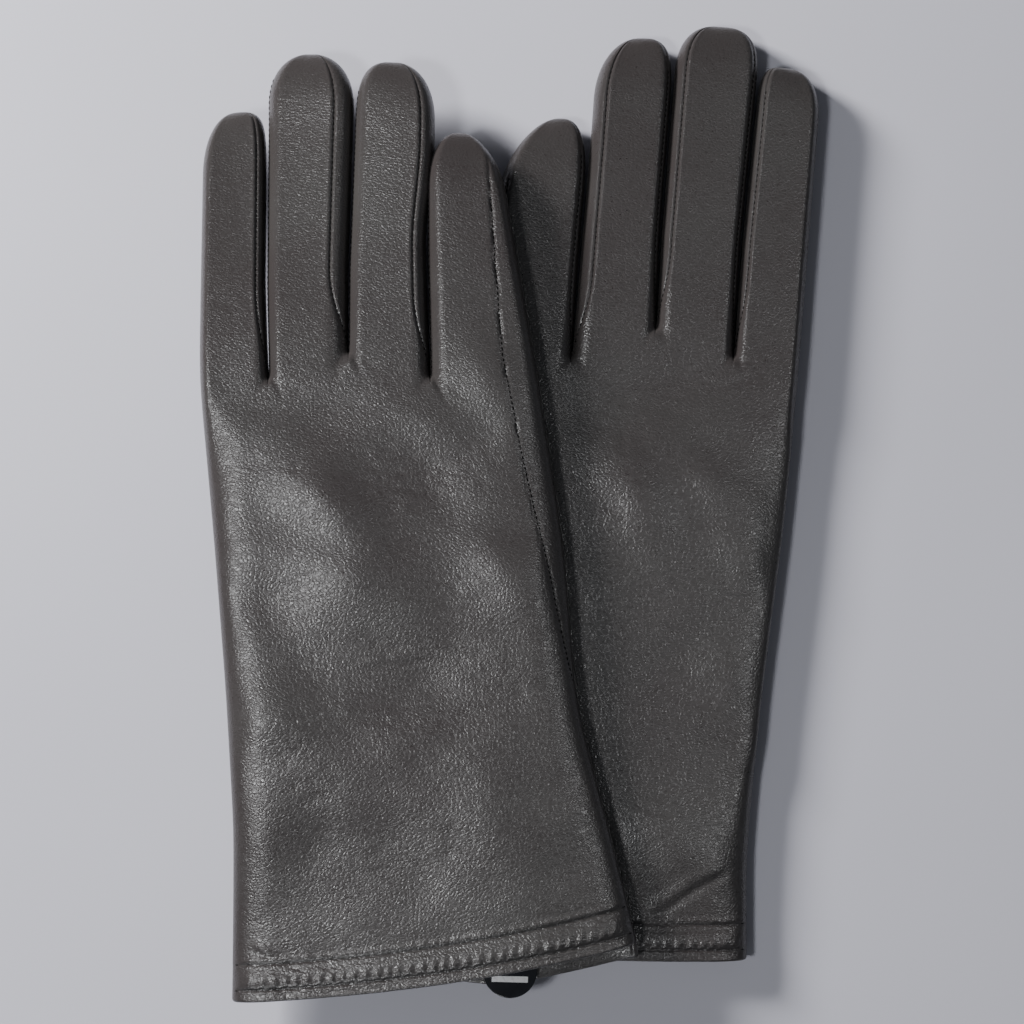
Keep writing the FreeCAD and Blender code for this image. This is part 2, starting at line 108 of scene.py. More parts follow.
# Folded creases: both ends x and y, depth, half width; mm.
CREASES = {
    "right": ((-70.0, -115.0, -61.5, -118.6, 0.5, 0.7), (-41.0, -41.5, -20.0, -39.0, 0.12, 0.8),
              (-50.0, -53.0, -26.0, -56.0, 0.1, 0.9)),
    "left": ((37.0, -108.5, 59.0, -94.5, 0.34, 1.2), (50.0, -21.0, 66.0, -24.0, 0.14, 0.8),
             (52.0, 33.0, 66.0, 36.0, 0.12, 0.8)),
}
FINGERS = {
    "right": ("index", "middle", "ring", "little"),
    "left": ("little", "ring", "middle", "index"),
}


# ---------------------------------------------------------------- properties

def millimetres(name, description, default, low=0.0):
    """Setting for one size in millimetres."""
    return FloatProperty(name=name, description=description + ", mm", default=default, min=low)


def colour(name, wearer, default):
    """Setting for the colour of one finish."""
    return FloatVectorProperty(name=name, description="Colour of " + wearer, default=default,
                               subtype="COLOR", size=3, min=0.0, max=1.0)


class GloveShape(bpy.types.PropertyGroup):
    """Sizes of the soft leather shapes."""
    edge_roll: millimetres("Edge roll", "Width over which the hand rounds off", 11.5, 3.0)
    finger_gap: millimetres("Finger gap", "Half the dark gap between two fingers", 0.3, 0.05)
    crotch_run: millimetres("Crotch run", "Length in which a gap closes to its crotch", 34.0, 5.0)
    valley_run: millimetres("Valley run", "Length of the dip below each crotch", 3.2, 1.0)
    dent_depth: millimetres("Dent depth", "Height of the broad soft dents", 0.5)
    wrinkle_depth: millimetres("Wrinkle depth", "Height of the fine wrinkles", 0.14)
    leather_thickness: millimetres("Leather", "Thickness of the leather", 0.8, 0.2)
    lining_thickness: millimetres("Lining", "Thickness of the lining", 0.5, 0.2)
    hem_height: millimetres("Hem height", "Turned hem, edge to upper stitch row", 10.0, 3.0)
    hem_low_row: millimetres("Lower hem row", "Lower stitch row above the edge", 3.2, 1.0)
    hem_stitch: millimetres("Hem stitch", "Pitch of the hem stitches", 3.0, 0.5)
    seam_stitch: millimetres("Seam stitch", "Pitch of the finger seam stitches", 1.45, 0.5)
    thread: millimetres("Thread", "Thickness of the sewing thread", 0.4, 0.1)
    seed: IntProperty(name="Seed", description="Seed of the dents and wrinkles", default=7)


class GloveFinish(bpy.types.PropertyGroup):
    """Colours and surface finish of the gloves."""
    leather: colour("Leather", "the leather", (0.0265, 0.0220, 0.0218))
    leather_high: colour("Leather, rubbed", "the leather where it is rubbed",
                         (0.0330, 0.0305, 0.0297))
    lining: colour("Lining", "the knitted lining", (0.03, 0.03, 0.034))
    thread: colour("Thread", "the sewing thread", (0.003, 0.003, 0.003))
    tab: colour("Tab", "the glossy tab", (0.012, 0.013, 0.017))
    # The bar's near-white colour is a painted reflection of the soft light on the tab.
    bar: colour("Bar", "the plain bar on the tab", (0.9, 0.9, 0.92))
    floor: colour("Floor", "the floor", (0.56, 0.56, 0.63))
    grain: FloatProperty(name="Grain", description="Size of the leather's grain",
                         default=0.0009, min=0.0001, unit="LENGTH")
    roughness: FloatProperty(name="Roughness", description="Roughness of the leather",
                             default=0.32, min=0.0, max=1.0, subtype="FACTOR")


def shape():
    """Sizes set in the sidebar."""
    return bpy.context.scene.glove_shape


def finish():
    """Colours set in the sidebar."""
    return bpy.context.scene.glove_finish


# ---------------------------------------------------------------- small maths

def smooth(value):
    """Smooth step from 0 to 1 as the value goes from 0 to 1."""
    t = np.clip(value, 0.0, 1.0)
    return t * t * (3.0 - 2.0 * t)


def rounded(share, power):
    """Height of a rounded shoulder: 0 at its foot, 1 from its top onwards."""
    t = 1.0 - np.clip(share, 0.0, 1.0)
    return np.power(np.clip(1.0 - np.power(t, power), 0.0, 1.0), 1.0 / power)


def bell(distance, width):
    """Smooth bump of height 1 that fades over a width."""
    return np.exp(-(distance / width) ** 2)


class Noise:
    """Smooth gradient noise in two dimensions, the same for the same seed."""

    def __init__(self, seed, cells=64):
        rng = np.random.default_rng(seed)
        angle = rng.random((cells, cells)) * 2.0 * math.pi
        self.cells = cells
        self.gx = np.cos(angle)
        self.gy = np.sin(angle)

    def at(self, x, y):
        """Value between about -1 and 1 at each point."""
        x0 = np.floor(x).astype(int)
        y0 = np.floor(y).astype(int)
        fx, fy = x - x0, y - y0
        total = 0.0
        for dx in (0, 1):
            for dy in (0, 1):
                i = (x0 + dx) % self.cells
                j = (y0 + dy) % self.cells
                dot = self.gx[i, j] * (fx - dx) + self.gy[i, j] * (fy - dy)
                wx = smooth(fx) if dx else 1.0 - smooth(fx)
                wy = smooth(fy) if dy else 1.0 - smooth(fy)
                total = total + dot * wx * wy
        return total * 1.5


def blur(values, width):
    """Gaussian blur of evenly spaced values, its ends continued in line."""
    reach = int(3 * width)
    head = values[0] - (values[1] - values[0]) * np.arange(reach, 0, -1)
    tail = values[-1] + (values[-1] - values[-2]) * np.arange(1, reach + 1)
    padded = np.concatenate([head, values, tail])
    kernel = np.exp(-0.5 * (np.arange(-reach, reach + 1) / width) ** 2)
    return np.convolve(padded, kernel / kernel.sum(), mode="valid")


# ---------------------------------------------------------------- plan of a glove

class Glove:
    """Plan of one glove, read from the frame, in millimetres.

    U runs across the knuckles and V the way the fingers point; both are turned
    from the row frame by the angle of the finger hinges.
    """

    SEED_STEP = {"right": 0, "left": 3}     # so that the two gloves dent differently
    RING_BULGE = 2.6        # how far the right ring fingertip leans over the little finger, mm
    EDGE_BLUR = 6.0         # how softly the outer edges are smoothed, mm
    LIP_SLIP = 4.0          # how far the palm layer slips out below the right cuff, mm
    FINGER_SAG = 5.6        # how far the upper glove's outer fingertips sag, mm
    CUFF_SAG = 4.0          # and the outer corner of its cuff, mm
    TABLE_CLEAR = 0.4       # the sag stops this far above the table, mm
    STRAIGHT_SHARE = 0.55   # a finger's sides are straight up to this share of its length

    # Height of each crotch above the knuckle line, from the glove's left to its right.
    CROTCH_RISE = {"right": (2.1, 9.2, 3.4), "left": (2.4, 12.2, 6.4)}

    # Sideways lean of each gap: height above the knuckle line and shift, mm.
    GAP_SHIFTS = {
        "right": (((0.0, 0.8), (25.0, 0.0)), ((0.0, 2.0), (30.0, 1.8), (75.0, 3.0)),
                  ((0.0, 0.4), (30.0, -0.8), (58.0, -1.7))),
        "left": (((0.0, 1.5), (35.0, 1.9), (60.0, 2.3)), ((0.0, 1.5), (35.0, 0.3), (80.0, 0.0)),
                 ((0.0, 1.5), (35.0, 0.5), (80.0, 0.5))),
    }

    def __init__(self, side):
        self.side = side
        self.fingers = FINGERS[side]
        hinge = JOINTS[side + "_index_lift"]
        self.across = np.array(hinge["axis"][:2])
        self.along = np.array([-hinge["axis"][1], hinge["axis"][0]])
        self.knuckle = float(np.array(hinge["pos_m"][:2]) @ self.along) / MM
        low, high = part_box(side + "_trank")
        self.floor = low[2] / MM
        self.height = (high[2] - low[2]) / MM
        self.read_hand()
        self.read_fingers()
        self.noise = Noise(shape().seed + self.SEED_STEP[side])

    def plan(self, node):
        """Vertices of a frame node as plan points."""
        mesh = frame["nodes"][node].data
        points = np.empty(len(mesh.vertices) * 3)
        mesh.vertices.foreach_get("co", points)
        points = points.reshape(-1, 3)[:, :2] / MM
        return points @ np.array([self.across, self.along]).T

    def span(self, node, level):
        """Lowest and highest U of a node where it crosses a V level."""
        points = self.plan(node)
        mesh = frame["nodes"][node].data
        pairs = np.empty(len(mesh.edges) * 2, int)
        mesh.edges.foreach_get("vertices", pairs)
        start, end = points[pairs[0::2]], points[pairs[1::2]]
        crosses = (start[:, 1] - level) * (end[:, 1] - level) < 0
        start, end = start[crosses], end[crosses]
        share = (level - start[:, 1]) / (end[:, 1] - start[:, 1])
        u = start[:, 0] + share * (end[:, 0] - start[:, 0])
        return u.min(), u.max()

    def read_hand(self):
        """Cuff corners and the bow of the cuff edge."""
        points = self.plan(self.side + "_trank")
        self.cuff_left = points[np.argmax(-points[:, 0] - points[:, 1])]
        self.cuff_right = points[np.argmax(points[:, 0] - points[:, 1])]
        chord = (self.cuff_left + self.cuff_right) / 2.0
        near = np.abs(points[:, 0] - chord[0]) < 6.0
        self.cuff_bow = max(0.5, chord[1] - points[near][:, 1].min())

    def read_fingers(self):
        """Side lines, tips and crotches of the fingers, and the outer edges."""
        self.lines = []
        self.tips = []
        for finger in self.fingers:
            node = "%s_%s_finger" % (self.side, finger)
            top = self.plan(node)[:, 1].max()
            low = self.knuckle + 3.0
            high = self.knuckle + self.STRAIGHT_SHARE * (top - self.knuckle)
            spans = (self.span(node, low), self.span(node, high))
            slopes = [(spans[1][k] - spans[0][k]) / (high - low) for k in (0, 1)]
            self.lines.append([(spans[0][k], slopes[k], low) for k in (0, 1)])
            self.tips.append(top)
        rises = self.CROTCH_RISE[self.side]
        self.crotches = [self.knuckle + rise for rise in rises]
        self.levels = np.arange(min(self.cuff_left[1], self.cuff_right[1]) - 12.0,
                                max(self.tips) + 12.0, 1.0)
        self.edges = [self.outer_edge(0), self.outer_edge(1)]

    def line_u(self, finger, edge, level):
        """U of a finger's straight side line at a V level."""
        u, slope, start = self.lines[finger][edge]
        return u + slope * (level - start)

    def outer_edge(self, edge):
        """Smoothed outer edge of the hand and its outer finger, one U per level."""
        corner = (self.cuff_left, self.cuff_right)[edge]
        finger = (0, 3)[edge]
        known_v = [corner[1]]
        known_u = [corner[0]]
        for level in np.arange(corner[1] + 2.0, self.knuckle - 0.5, 2.0):
            known_v.append(level)
            known_u.append(self.span(self.side + "_trank", level)[edge])
        for level in np.arange(self.knuckle + 2.0, self.levels[-1] + 1.0, 2.0):
            known_v.append(level)
            known_u.append(self.line_u(finger, edge, level))
        slope = (known_u[3] - known_u[0]) / (known_v[3] - known_v[0])
        first = self.levels[0]
        known_u.insert(0, known_u[0] + slope * (first - known_v[0]))
        known_v.insert(0, first)
        return blur(np.interp(self.levels, known_v, known_u), self.EDGE_BLUR)

    def edge_u(self, edge, level):
        """U of the outer edge, 0 left and 1 right, at V levels."""
        return np.interp(level, self.levels, self.edges[edge])

    def side_u(self, finger, edge, level):
        """U of a finger's side at V levels; inner sides leave a tapering gap."""
        if finger + edge == 0:
            return self.edge_u(0, level)
        if finger + edge == 4:
            return self.edge_u(1, level)
        gap = finger + edge - 1
        room = shape().finger_gap
        half = room * np.sqrt(np.clip((level - self.crotches[gap]) / shape().crotch_run, 0, 1))
        u = self.gap_u(gap, level) + (half if edge == 0 else -half)
        if (self.side, self.fingers[finger], edge) == ("right", "ring", 1):
            u = u + self.RING_BULGE * smooth((level - self.knuckle - 36.0) / 28.0)
        return u

    def gap_u(self, gap, level):
        """U of the middle of a gap at V levels."""
        middle = (self.line_u(gap, 1, level) + self.line_u(gap + 1, 0, level)) / 2.0
        rises, shifts = zip(*self.GAP_SHIFTS[self.side][gap])
        return middle + np.interp(level - self.knuckle, rises, shifts)

    def cuff_v(self, share, under=0.0):
        """V of the cuff edge at shares of its width; under is 1 on the palm layer."""
        low = self.cuff_left[1] + share * (self.cuff_right[1] - self.cuff_left[1])
        bow = 4.0 * share * (1.0 - share) * self.cuff_bow
        if self.side == "left":
            return low - bow
        return low - bow - self.LIP_SLIP * under * smooth((share - 0.48) / 0.2)

    def row_xy(self, u, v):
        """Row-frame X and Y of plan points, still in millimetres."""
        flat = np.stack([u, v], axis=-1) @ np.array([self.across, self.along])
        return flat[..., 0], flat[..., 1]

    def to_row(self, u, v, z):
        """Plan points as row-frame points in metres."""
        flat = np.stack([u, v], axis=-1) @ np.array([self.across, self.along])
        return np.concatenate([flat, np.asarray(z)[..., None]], axis=-1) * MM

    def row_point(self, u, v, z):
        """One plan point as a row-frame vector in metres."""
        return Vector(self.to_row(np.array([u]), np.array([v]), np.array([z]))[0])

    # ------------------------------------------------------------ lie of the glove

    def sink(self, u, v):
        """How far the upper glove sags below its frame layer, clear of what holds it."""
        if self.side == "left":
            return np.zeros_like(u)
        middle = (self.edge_u(0, v) + self.edge_u(1, v)) / 2.0
        outward = (middle - u) / (self.edge_u(1, v) - self.edge_u(0, v))
        towards_tip = smooth((v - self.knuckle + 4.0) / 78.0)
        towards_cuff = smooth((self.cuff_left[1] + 62.0 - v) / 56.0)
        fingers = self.FINGER_SAG * smooth((outward + 0.35) / 0.75) * towards_tip
        cuff = self.CUFF_SAG * smooth((outward + 0.3) / 0.8) * towards_cuff
        return np.minimum(fingers + cuff, self.floor - self.TABLE_CLEAR)

    def recess(self, u, v):
        """Share of the hollow under the palm that the folded left thumb fills."""
        if self.side == "right":
            return np.zeros_like(u)
        low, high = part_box("left_thumb")
        x, y = self.row_xy(u, v)
        along = smooth((y - low[1] / MM + 15.5) / 14.0) * smooth((high[1] / MM + 18.5 - y) / 16.0)
        return smooth((x - low[0] / MM + 5.0) / 4.0) * along

    def relief(self, u, v):
        """Dents, wrinkles, creases and the side seam, as heights on the back."""
        below = smooth((self.knuckle + 16.0 - v) / 30.0)
        height = self.dents(u, v, below) + self.swells(u, v)
        height = height - self.folds(u, v) - self.wrinkles(u, v) * below
        for gap, level in enumerate(self.crotches):
            height = height - self.crotch_creases(u, v, gap, level)
        inside = np.minimum(u - self.edge_u(0, v), self.edge_u(1, v) - u)
        return height * smooth(inside / 8.0) - self.seam_groove(u, v)

    def dents(self, u, v, below):
        """Broad soft dents, fainter on the fingers than below the knuckles."""
        broad = self.noise.at(u / 33.0 + 5.3, v / 24.0 + 9.1)
        small = self.noise.at(u / 14.0, v / 11.0 + 3.0)
        return shape().dent_depth * (broad + 0.45 * small) * (0.22 + 0.78 * below)

    def swells(self, u, v):
        """The placed swells and hollows of the back."""
        x, y = self.row_xy(u, v)
        total = 0.0
        for middle_x, middle_y, length, width, lean, rise in SWELLS[self.side]:
            cosine, sine = math.cos(math.radians(lean)), math.sin(math.radians(lean))
            a = (x - middle_x) * cosine + (y - middle_y) * sine
            b = (y - middle_y) * cosine - (x - middle_x) * sine
            total = total + rise * np.exp(-(a / length) ** 2 - (b / width) ** 2)
        return total

    def folds(self, u, v):
        """Depth of the placed creases, each with a raised lip along one side."""
        x, y = self.row_xy(u, v)
        total = 0.0
        for x0, y0, x1, y1, depth, width in CREASES[self.side]:
            length = math.hypot(x1 - x0, y1 - y0)
            a = ((x - x0) * (x1 - x0) + (y - y0) * (y1 - y0)) / length
            b = ((y - y0) * (x1 - x0) - (x - x0) * (y1 - y0)) / length
            b = b + 0.5 * np.sin(a / 2.9) * smooth(a / length)
            fade = smooth(a / 4.0) * smooth((length - a) / 6.0)
            lip = 0.7 * bell(b - 2.0 * width, 1.6 * width)
            total = total + fade * depth * (bell(b, width) - lip)
        return total

    def wrinkles(self, u, v):
        """Depth of the fine wrinkles, which come in patches."""
        streak = 1.0 - np.abs(self.noise.at(u / 12.0 + 1.7, v / 2.6 + 0.11 * u / 2.6))
        patch = smooth(self.noise.at(u / 21.0 + 11.0, v / 17.0 + 4.0) * 1.7 + 0.2)
        return shape().wrinkle_depth * np.power(streak, 8) * patch

    def crotch_creases(self, u, v, gap, level):
        """Short pulled creases that fan out below one crotch."""
        start = self.gap_u(gap, level)
        total = np.zeros_like(u)
        fans = ((-0.75, 7.0, 0.34), (-0.1, 5.0, 0.3), (0.7, 8.0, 0.3), (1.6, 9.0, 0.2))
        for lean, length, depth in fans:
            drop = level - 0.3 - v
            line = start + lean * drop + 0.5 * np.sin(drop / 1.9 + gap)
            fade = smooth(drop / 1.5) * smooth((length - drop) / length)
            total = total + depth * bell(u - line, 0.5 + 0.04 * np.clip(drop, 0, 20)) * fade
        return total

    def seam_u(self, v):
        """U of the side seam down the back, from the little finger to the wrist."""
        rise = v - self.knuckle
        inset = np.interp(rise, SEAM_RISES, SEAM_INSETS)
        if self.side == "right":
            return self.edge_u(1, v) - inset
        return self.edge_u(0, v) + 0.45 * inset

    def seam_groove(self, u, v):
        """Depth of the side seam's groove and of the pulled leather beside it."""
        look = shape()
        rise = v - self.knuckle
        on = smooth((rise - SEAM_RISES[0]) / 6.0) * smooth((SEAM_RISES[-1] + 3.0 - rise) / 5.0)
        away = (u - self.seam_u(v)) * (1.0 if self.side == "right" else -1.0)
        pull = 0.10 * np.cos(2.0 * math.pi * v / look.seam_stitch)
        return on * (0.5 * bell(away, 0.42) + pull * bell(away - 0.9, 0.7) + 0.2 * smooth(away / 1.2))


# ---------------------------------------------------------------- skins

TOP_STEPS = 52      # columns across the back of one finger
UNDER_STEPS = 12    # columns across its palm side
SIDE_ROWS = 84      # rows along a finger, up to where its tip starts to round off
TIP_ROWS = 22       # rows over the tip
HAND_ROWS = 170     # rows along the hand
HIDDEN_SEAM = 0.965     # share of the half width at which a seam is out of sight
BODY_CLEAR = 0.4    # the soft body stays this far below the frame's height, mm
SIDE_SHARE = 0.42   # height of the side line of the hand, as a share of its body
SIDE_LIFT = 2.3     # how far the side line rises over the folded left thumb, mm
THUMB_ROOM = 5.5    # and how far the palm rises there, mm
PALM_CLEAR = 0.15   # gap left under the palm, mm
ROLL_POWER = 2.3    # how square the rolled edges are; 2 is round
SEAM_PULL = 23.0    # length over which finger seams are pulled to the crotch, mm
CUFF_RUN = 40.0     # the hand thins over this length towards the cuff, mm
CUFF_THINNING = 0.05    # and by this share

# Distance of each visible finger seam from the finger's side, mm; None is out of sight.
SEAM_SIDES = {
    ("right", "index"): (None, 2.1), ("right", "middle"): (None, 4.4),
    ("right", "ring"): (None, 3.6), ("right", "little"): (None, None),
    ("left", "little"): (None, 1.4), ("left", "ring"): (3.7, 1.4),
    ("left", "middle"): (2.7, 1.3), ("left", "index"): (1.8, None),
}

# Per tip: where its pole lies across the finger, how square its left and right sides are,
# and its length in finger widths.
TIPS = {
    ("right", "index"): (0.15, 2.2, 4.2, 1.05), ("right", "middle"): (0.0, 2.2, 2.2, 0.62),
    ("right", "ring"): (-0.08, 2.9, 2.2, 0.75), ("right", "little"): (-0.06, 2.2, 2.0, 0.76),
    ("left", "little"): (0.22, 1.9, 2.8, 0.9), ("left", "ring"): (0.14, 2.05, 3.4, 0.84),
    ("left", "middle"): (0.0, 2.5, 2.8, 0.62), ("left", "index"): (-0.2, 4.2, 2.4, 0.85),
}


def ring_shares():
    """Shares across a finger, round its ring: back left to right, palm right to left."""
    back = -np.cos(np.linspace(0.0, math.pi, TOP_STEPS + 1))
    palm = np.cos(np.linspace(0.0, math.pi, UNDER_STEPS + 1))
    return np.concatenate([back, palm[1:-1]])


def is_palm(count):
    """Which of a ring's points lie on the palm side, between the two edges."""
    return np.arange(count) > TOP_STEPS


def finger_profile(plan, finger, share, palm):
    """Height across a finger, 0 at its sides and 1 from its seams inwards."""
    ring = ring_shares()
    left, right = (abs(ring[column]) for column in seam_shares(plan, finger))
    roll = np.where(share < 0.0, max(1.0 - left, 0.27), max(1.0 - right, 0.27)) * 1.25
    round_back = rounded((1.0 - np.abs(share)) / roll, ROLL_POWER)
    flat_palm = rounded((1.0 - np.abs(share)) / 0.7, 2.4)
    return np.where(palm, flat_palm, round_back)


def seam_shares(plan, finger):
    """Shares at which a finger's left and right seams lie, as columns of its ring."""
    low = plan.knuckle + 12.0
    half = (plan.side_u(finger, 1, low) - plan.side_u(finger, 0, low)) / 2.0
    shares = ring_shares()[:TOP_STEPS + 1]
    found = []
    for edge, offset in enumerate(SEAM_SIDES[plan.side, plan.fingers[finger]]):
        share = HIDDEN_SEAM if offset is None else 1.0 - offset / half
        sign = 1.0 if edge else -1.0
        found.append(int(np.argmin(np.abs(shares - sign * share))))
    return found


def pulled(plan, finger, shares, pull):
    """Shares with both seams pulled outwards, towards the crotch, by 0 to 1."""
    ring = ring_shares()
    left, right = (ring[column] for column in seam_shares(plan, finger))
    left_to = left - (HIDDEN_SEAM + left) * pull
    right_to = right + (HIDDEN_SEAM - right) * pull
    outer_left = -1.0 + (shares + 1.0) / (left + 1.0) * (left_to + 1.0)
    outer_right = 1.0 - (1.0 - shares) / (1.0 - right) * (1.0 - right_to)
    inner = np.where(shares < 0.0, shares / left * left_to, shares / right * right_to)
    return np.where(shares < left, outer_left, np.where(shares > right, outer_right, inner))


def layer_heights(glove, u, v, palm, profile, inset):
    """Z of skin points, from their profile height and the lie of the glove."""
    base = glove.floor - glove.sink(u, v)
    hollow = glove.recess(u, v)
    body = glove.height - BODY_CLEAR
    side = base + SIDE_SHARE * body + SIDE_LIFT * hollow
    back = side + (base + body - side - inset) * profile + glove.relief(u, v) * profile
    front = side - (side - base - THUMB_ROOM * hollow - PALM_CLEAR - inset) * profile
    return np.where(palm, front, back)


def root_levels(glove, finger):
    """V of a finger's root at its left and right sides."""
    marks = [glove.knuckle] + glove.crotches + [glove.knuckle]
    return marks[finger], marks[finger + 1]


def seam_dip(plan, finger, away_left, away_right, v):
    """Groove and small puckers of a finger's two seams, at distances from them in mm."""
    look = shape()
    beat = np.cos(2.0 * math.pi * v / look.seam_stitch)
    total = 0.0
    for edge, away in enumerate((away_left, away_right)):
        if SEAM_SIDES[plan.side, plan.fingers[finger]][edge] is None:
            continue
        total = total - 0.42 * bell(away, 0.34) + (0.07 + 0.07 * beat) * bell(away - 0.75, 0.5)
    return total


def finger_grid(glove, finger, inset=0.0, side_rows=SIDE_ROWS, tip_rows=TIP_ROWS):
    """Rows of ring points of one finger, from its root to the pole of its tip."""
    shares = ring_shares()
    palm = is_palm(len(shares))
    seams = [shares[column] for column in seam_shares(glove, finger)]
    low_left, low_right = root_levels(glove, finger)
    root = low_left + (low_right - low_left) * (pulled(glove, finger, shares, 1.0) + 1.0) / 2.0
    tip = glove.tips[finger] - inset
    width = glove.side_u(finger, 1, tip - 12.0) - glove.side_u(finger, 0, tip - 12.0)
    lean, square_left, square_right, length = TIPS[glove.side, glove.fingers[finger]]
    shoulder = tip - length * width
    rows_u, rows_v, rows_p, rows_d = [], [], [], []
    steps = list(np.linspace(0.0, 1.0, side_rows))
    angles = list(np.linspace(0.0, math.pi / 2.0, tip_rows + 1)[1:])
    for step in steps + [None] * len(angles):
        if step is not None:
            v = root + (shoulder - root) * step
            close = np.ones_like(shares)
        else:
            rise = math.sin(angles.pop(0))
            close_left, close_right = (max(0.0, 1.0 - rise ** n) ** (1.0 / n)
                                       for n in (square_left, square_right))
            close = close_left + (close_right - close_left) * smooth((shares + 1.0) / 2.0)
            v = np.full_like(shares, shoulder + (tip - shoulder) * rise)
        left = glove.side_u(finger, 0, v) + inset
        right = glove.side_u(finger, 1, v) - inset
        half = (right - left) / 2.0
        pull = smooth(1.0 - (v - root) / SEAM_PULL) ** 1.6
        bent = pulled(glove, finger, shares, pull)
        to = [pulled(glove, finger, np.full_like(shares, q), pull) for q in seams]
        rows_u.append((left + right) / 2.0 + half * (bent * close + lean * (1.0 - close)))
        rows_v.append(v)
        rows_p.append(finger_profile(glove, finger, bent, palm) * close ** 0.8)
        dip = seam_dip(glove, finger, (bent - to[0]) * half, (to[1] - bent) * half, v)
        rows_d.append(np.where(palm | (inset > 0), 0.0, dip) * smooth(close * 2.0) * (1.0 - pull ** 4))
    u, v, p, d = (np.array(rows) for rows in (rows_u, rows_v, rows_p, rows_d))
    z = layer_heights(glove, u, v, palm[None, :], p, inset) + d
    return glove.to_row(u, v, z)


def hand_columns(glove, inset):
    """Per ring point: share across the hand, crown, palm side or not, root V, blend length."""
    back = ring_shares()[:TOP_STEPS + 1]
    under = -np.cos(np.linspace(0.0, math.pi, UNDER_STEPS + 1))
    ring = []
    for finger in range(4):
        ring += [(finger, q, False) for q in (back if finger == 0 else back[1:])]
    for finger in (3, 2, 1, 0):
        steps = under[::-1][1:] if finger else under[::-1][1:-1]
        ring += [(finger, q, True) for q in steps]
    fingers = np.array([mark[0] for mark in ring])
    within = np.array([mark[1] for mark in ring])
    palm = np.array([mark[2] for mark in ring])
    root_u = np.empty(len(ring))
    root_v = np.empty(len(ring))
    crown = np.empty(len(ring))
    for finger in range(4):
        mine = fingers == finger
        within[mine] = pulled(glove, finger, within[mine], 1.0)
        crown[mine] = finger_profile(glove, finger, within[mine], palm[mine])
        low_left, low_right = root_levels(glove, finger)
        v = low_left + (low_right - low_left) * (within[mine] + 1.0) / 2.0
        left = glove.side_u(finger, 0, v) + (inset if finger == 0 else 0.0)
        right = glove.side_u(finger, 1, v) - (inset if finger == 3 else 0.0)
        root_u[mine] = (left + right) / 2.0 + within[mine] * (right - left) / 2.0
        root_v[mine] = v
    left = glove.edge_u(0, root_v) + inset
    right = glove.edge_u(1, root_v) - inset
    marks = [float(glove.gap_u(gap, level)) for gap, level in enumerate(glove.crotches)]
    away = np.min([np.abs(root_u - mark) for mark in marks], axis=0)
    run = shape().valley_run + 24.0 * smooth(away / 9.0)
    return (root_u - left) / (right - left), crown, palm, root_v, run


def hand_profile(glove, near, across, v):
    """Height across the hand, from its distance to the edge; thinner at the cuff."""
    flat = rounded(near / shape().edge_roll, ROLL_POWER)
    thin = 1.0 - CUFF_THINNING * smooth((glove.cuff_v(across) + CUFF_RUN - v) / CUFF_RUN)
    return flat * thin


def hand_heights(glove, u, v, across, crown, palm, root_v, run, inset):
    """Z of points of the hand, which take on each finger's crown at its root."""
    near = np.minimum(u - glove.edge_u(0, v), glove.edge_u(1, v) - u) - inset
    join = smooth((v - root_v + run) / run)
    profile = hand_profile(glove, near, across, v) * (1.0 - join) + crown * join
    z = layer_heights(glove, u, v, palm, profile, inset)
    if inset:
        return z
    rise = v - glove.cuff_v(across)
    return z + np.where(palm, 0.0, hem_relief(glove, u, rise)) * smooth(near / 5.0)


def hand_grid(glove, above_cuff, inset=0.0, rows=HAND_ROWS):
    """Rows of ring points of the hand, from above its cuff edge to the crotches."""
    across, crown, palm, root_v, run = hand_columns(glove, inset)
    start = glove.cuff_v(across, palm * 1.0) + above_cuff
    grid = []
    for mark in np.linspace(0.0, 1.0, rows) ** 1.12:
        v = start + (root_v - start) * mark
        left = glove.edge_u(0, v) + inset
        right = glove.edge_u(1, v) - inset
        u = left + across * (right - left)
        z = hand_heights(glove, u, v, across, crown, palm, root_v, run, inset)
        grid.append(glove.to_row(u, v, z))
    return np.array(grid)


# ---------------------------------------------------------------- meshes

def mesh_object(name, points, faces):
    """Smooth mesh object from row-frame points."""
    mesh = bpy.data.meshes.new(name)
    mesh.from_pydata([tuple(p) for p in points], [], faces)
    mesh.validate()
    mesh.shade_smooth()
    obj = bpy.data.objects.new(name, mesh)
    bpy.context.scene.collection.objects.link(obj)
    return obj


def bake(obj):
    """Replace an object's mesh with the result of its modifiers."""
    bpy.context.view_layer.update()
    graph = bpy.context.evaluated_depsgraph_get()
    result = bpy.data.meshes.new_from_object(obj.evaluated_get(graph))
    obj.modifiers.clear()
    old = obj.data
    obj.data = result
    bpy.data.meshes.remove(old)


def grid_faces(rows, columns, keep=None):
    """Quads of a grid whose rows close into rings; keep may pick some of them."""
    faces = []
    for r in range(rows - 1):
        for c in range(columns):
            if keep is not None and not keep[r, c]:
                continue
            d = (c + 1) % columns
            faces.append((r * columns + c, r * columns + d,
                          (r + 1) * columns + d, (r + 1) * columns + c))
    return faces


def skin(name, grid, thickness, material, keep=None):
    """Thin closed shell from a grid of ring points, thickened inwards."""
    rows, columns = grid.shape[:2]
    obj = mesh_object(name, grid.reshape(-1, 3), grid_faces(rows, columns, keep))
    weld(obj)
    if thickness:
        solid = obj.modifiers.new("thickness", "SOLIDIFY")
        solid.thickness = thickness * MM
        solid.offset = -1.0
        bake(obj)
    obj.data.shade_smooth()
    obj.data.set_sharp_from_angle(angle=math.radians(50.0))
    obj.data.materials.append(material)
    return obj


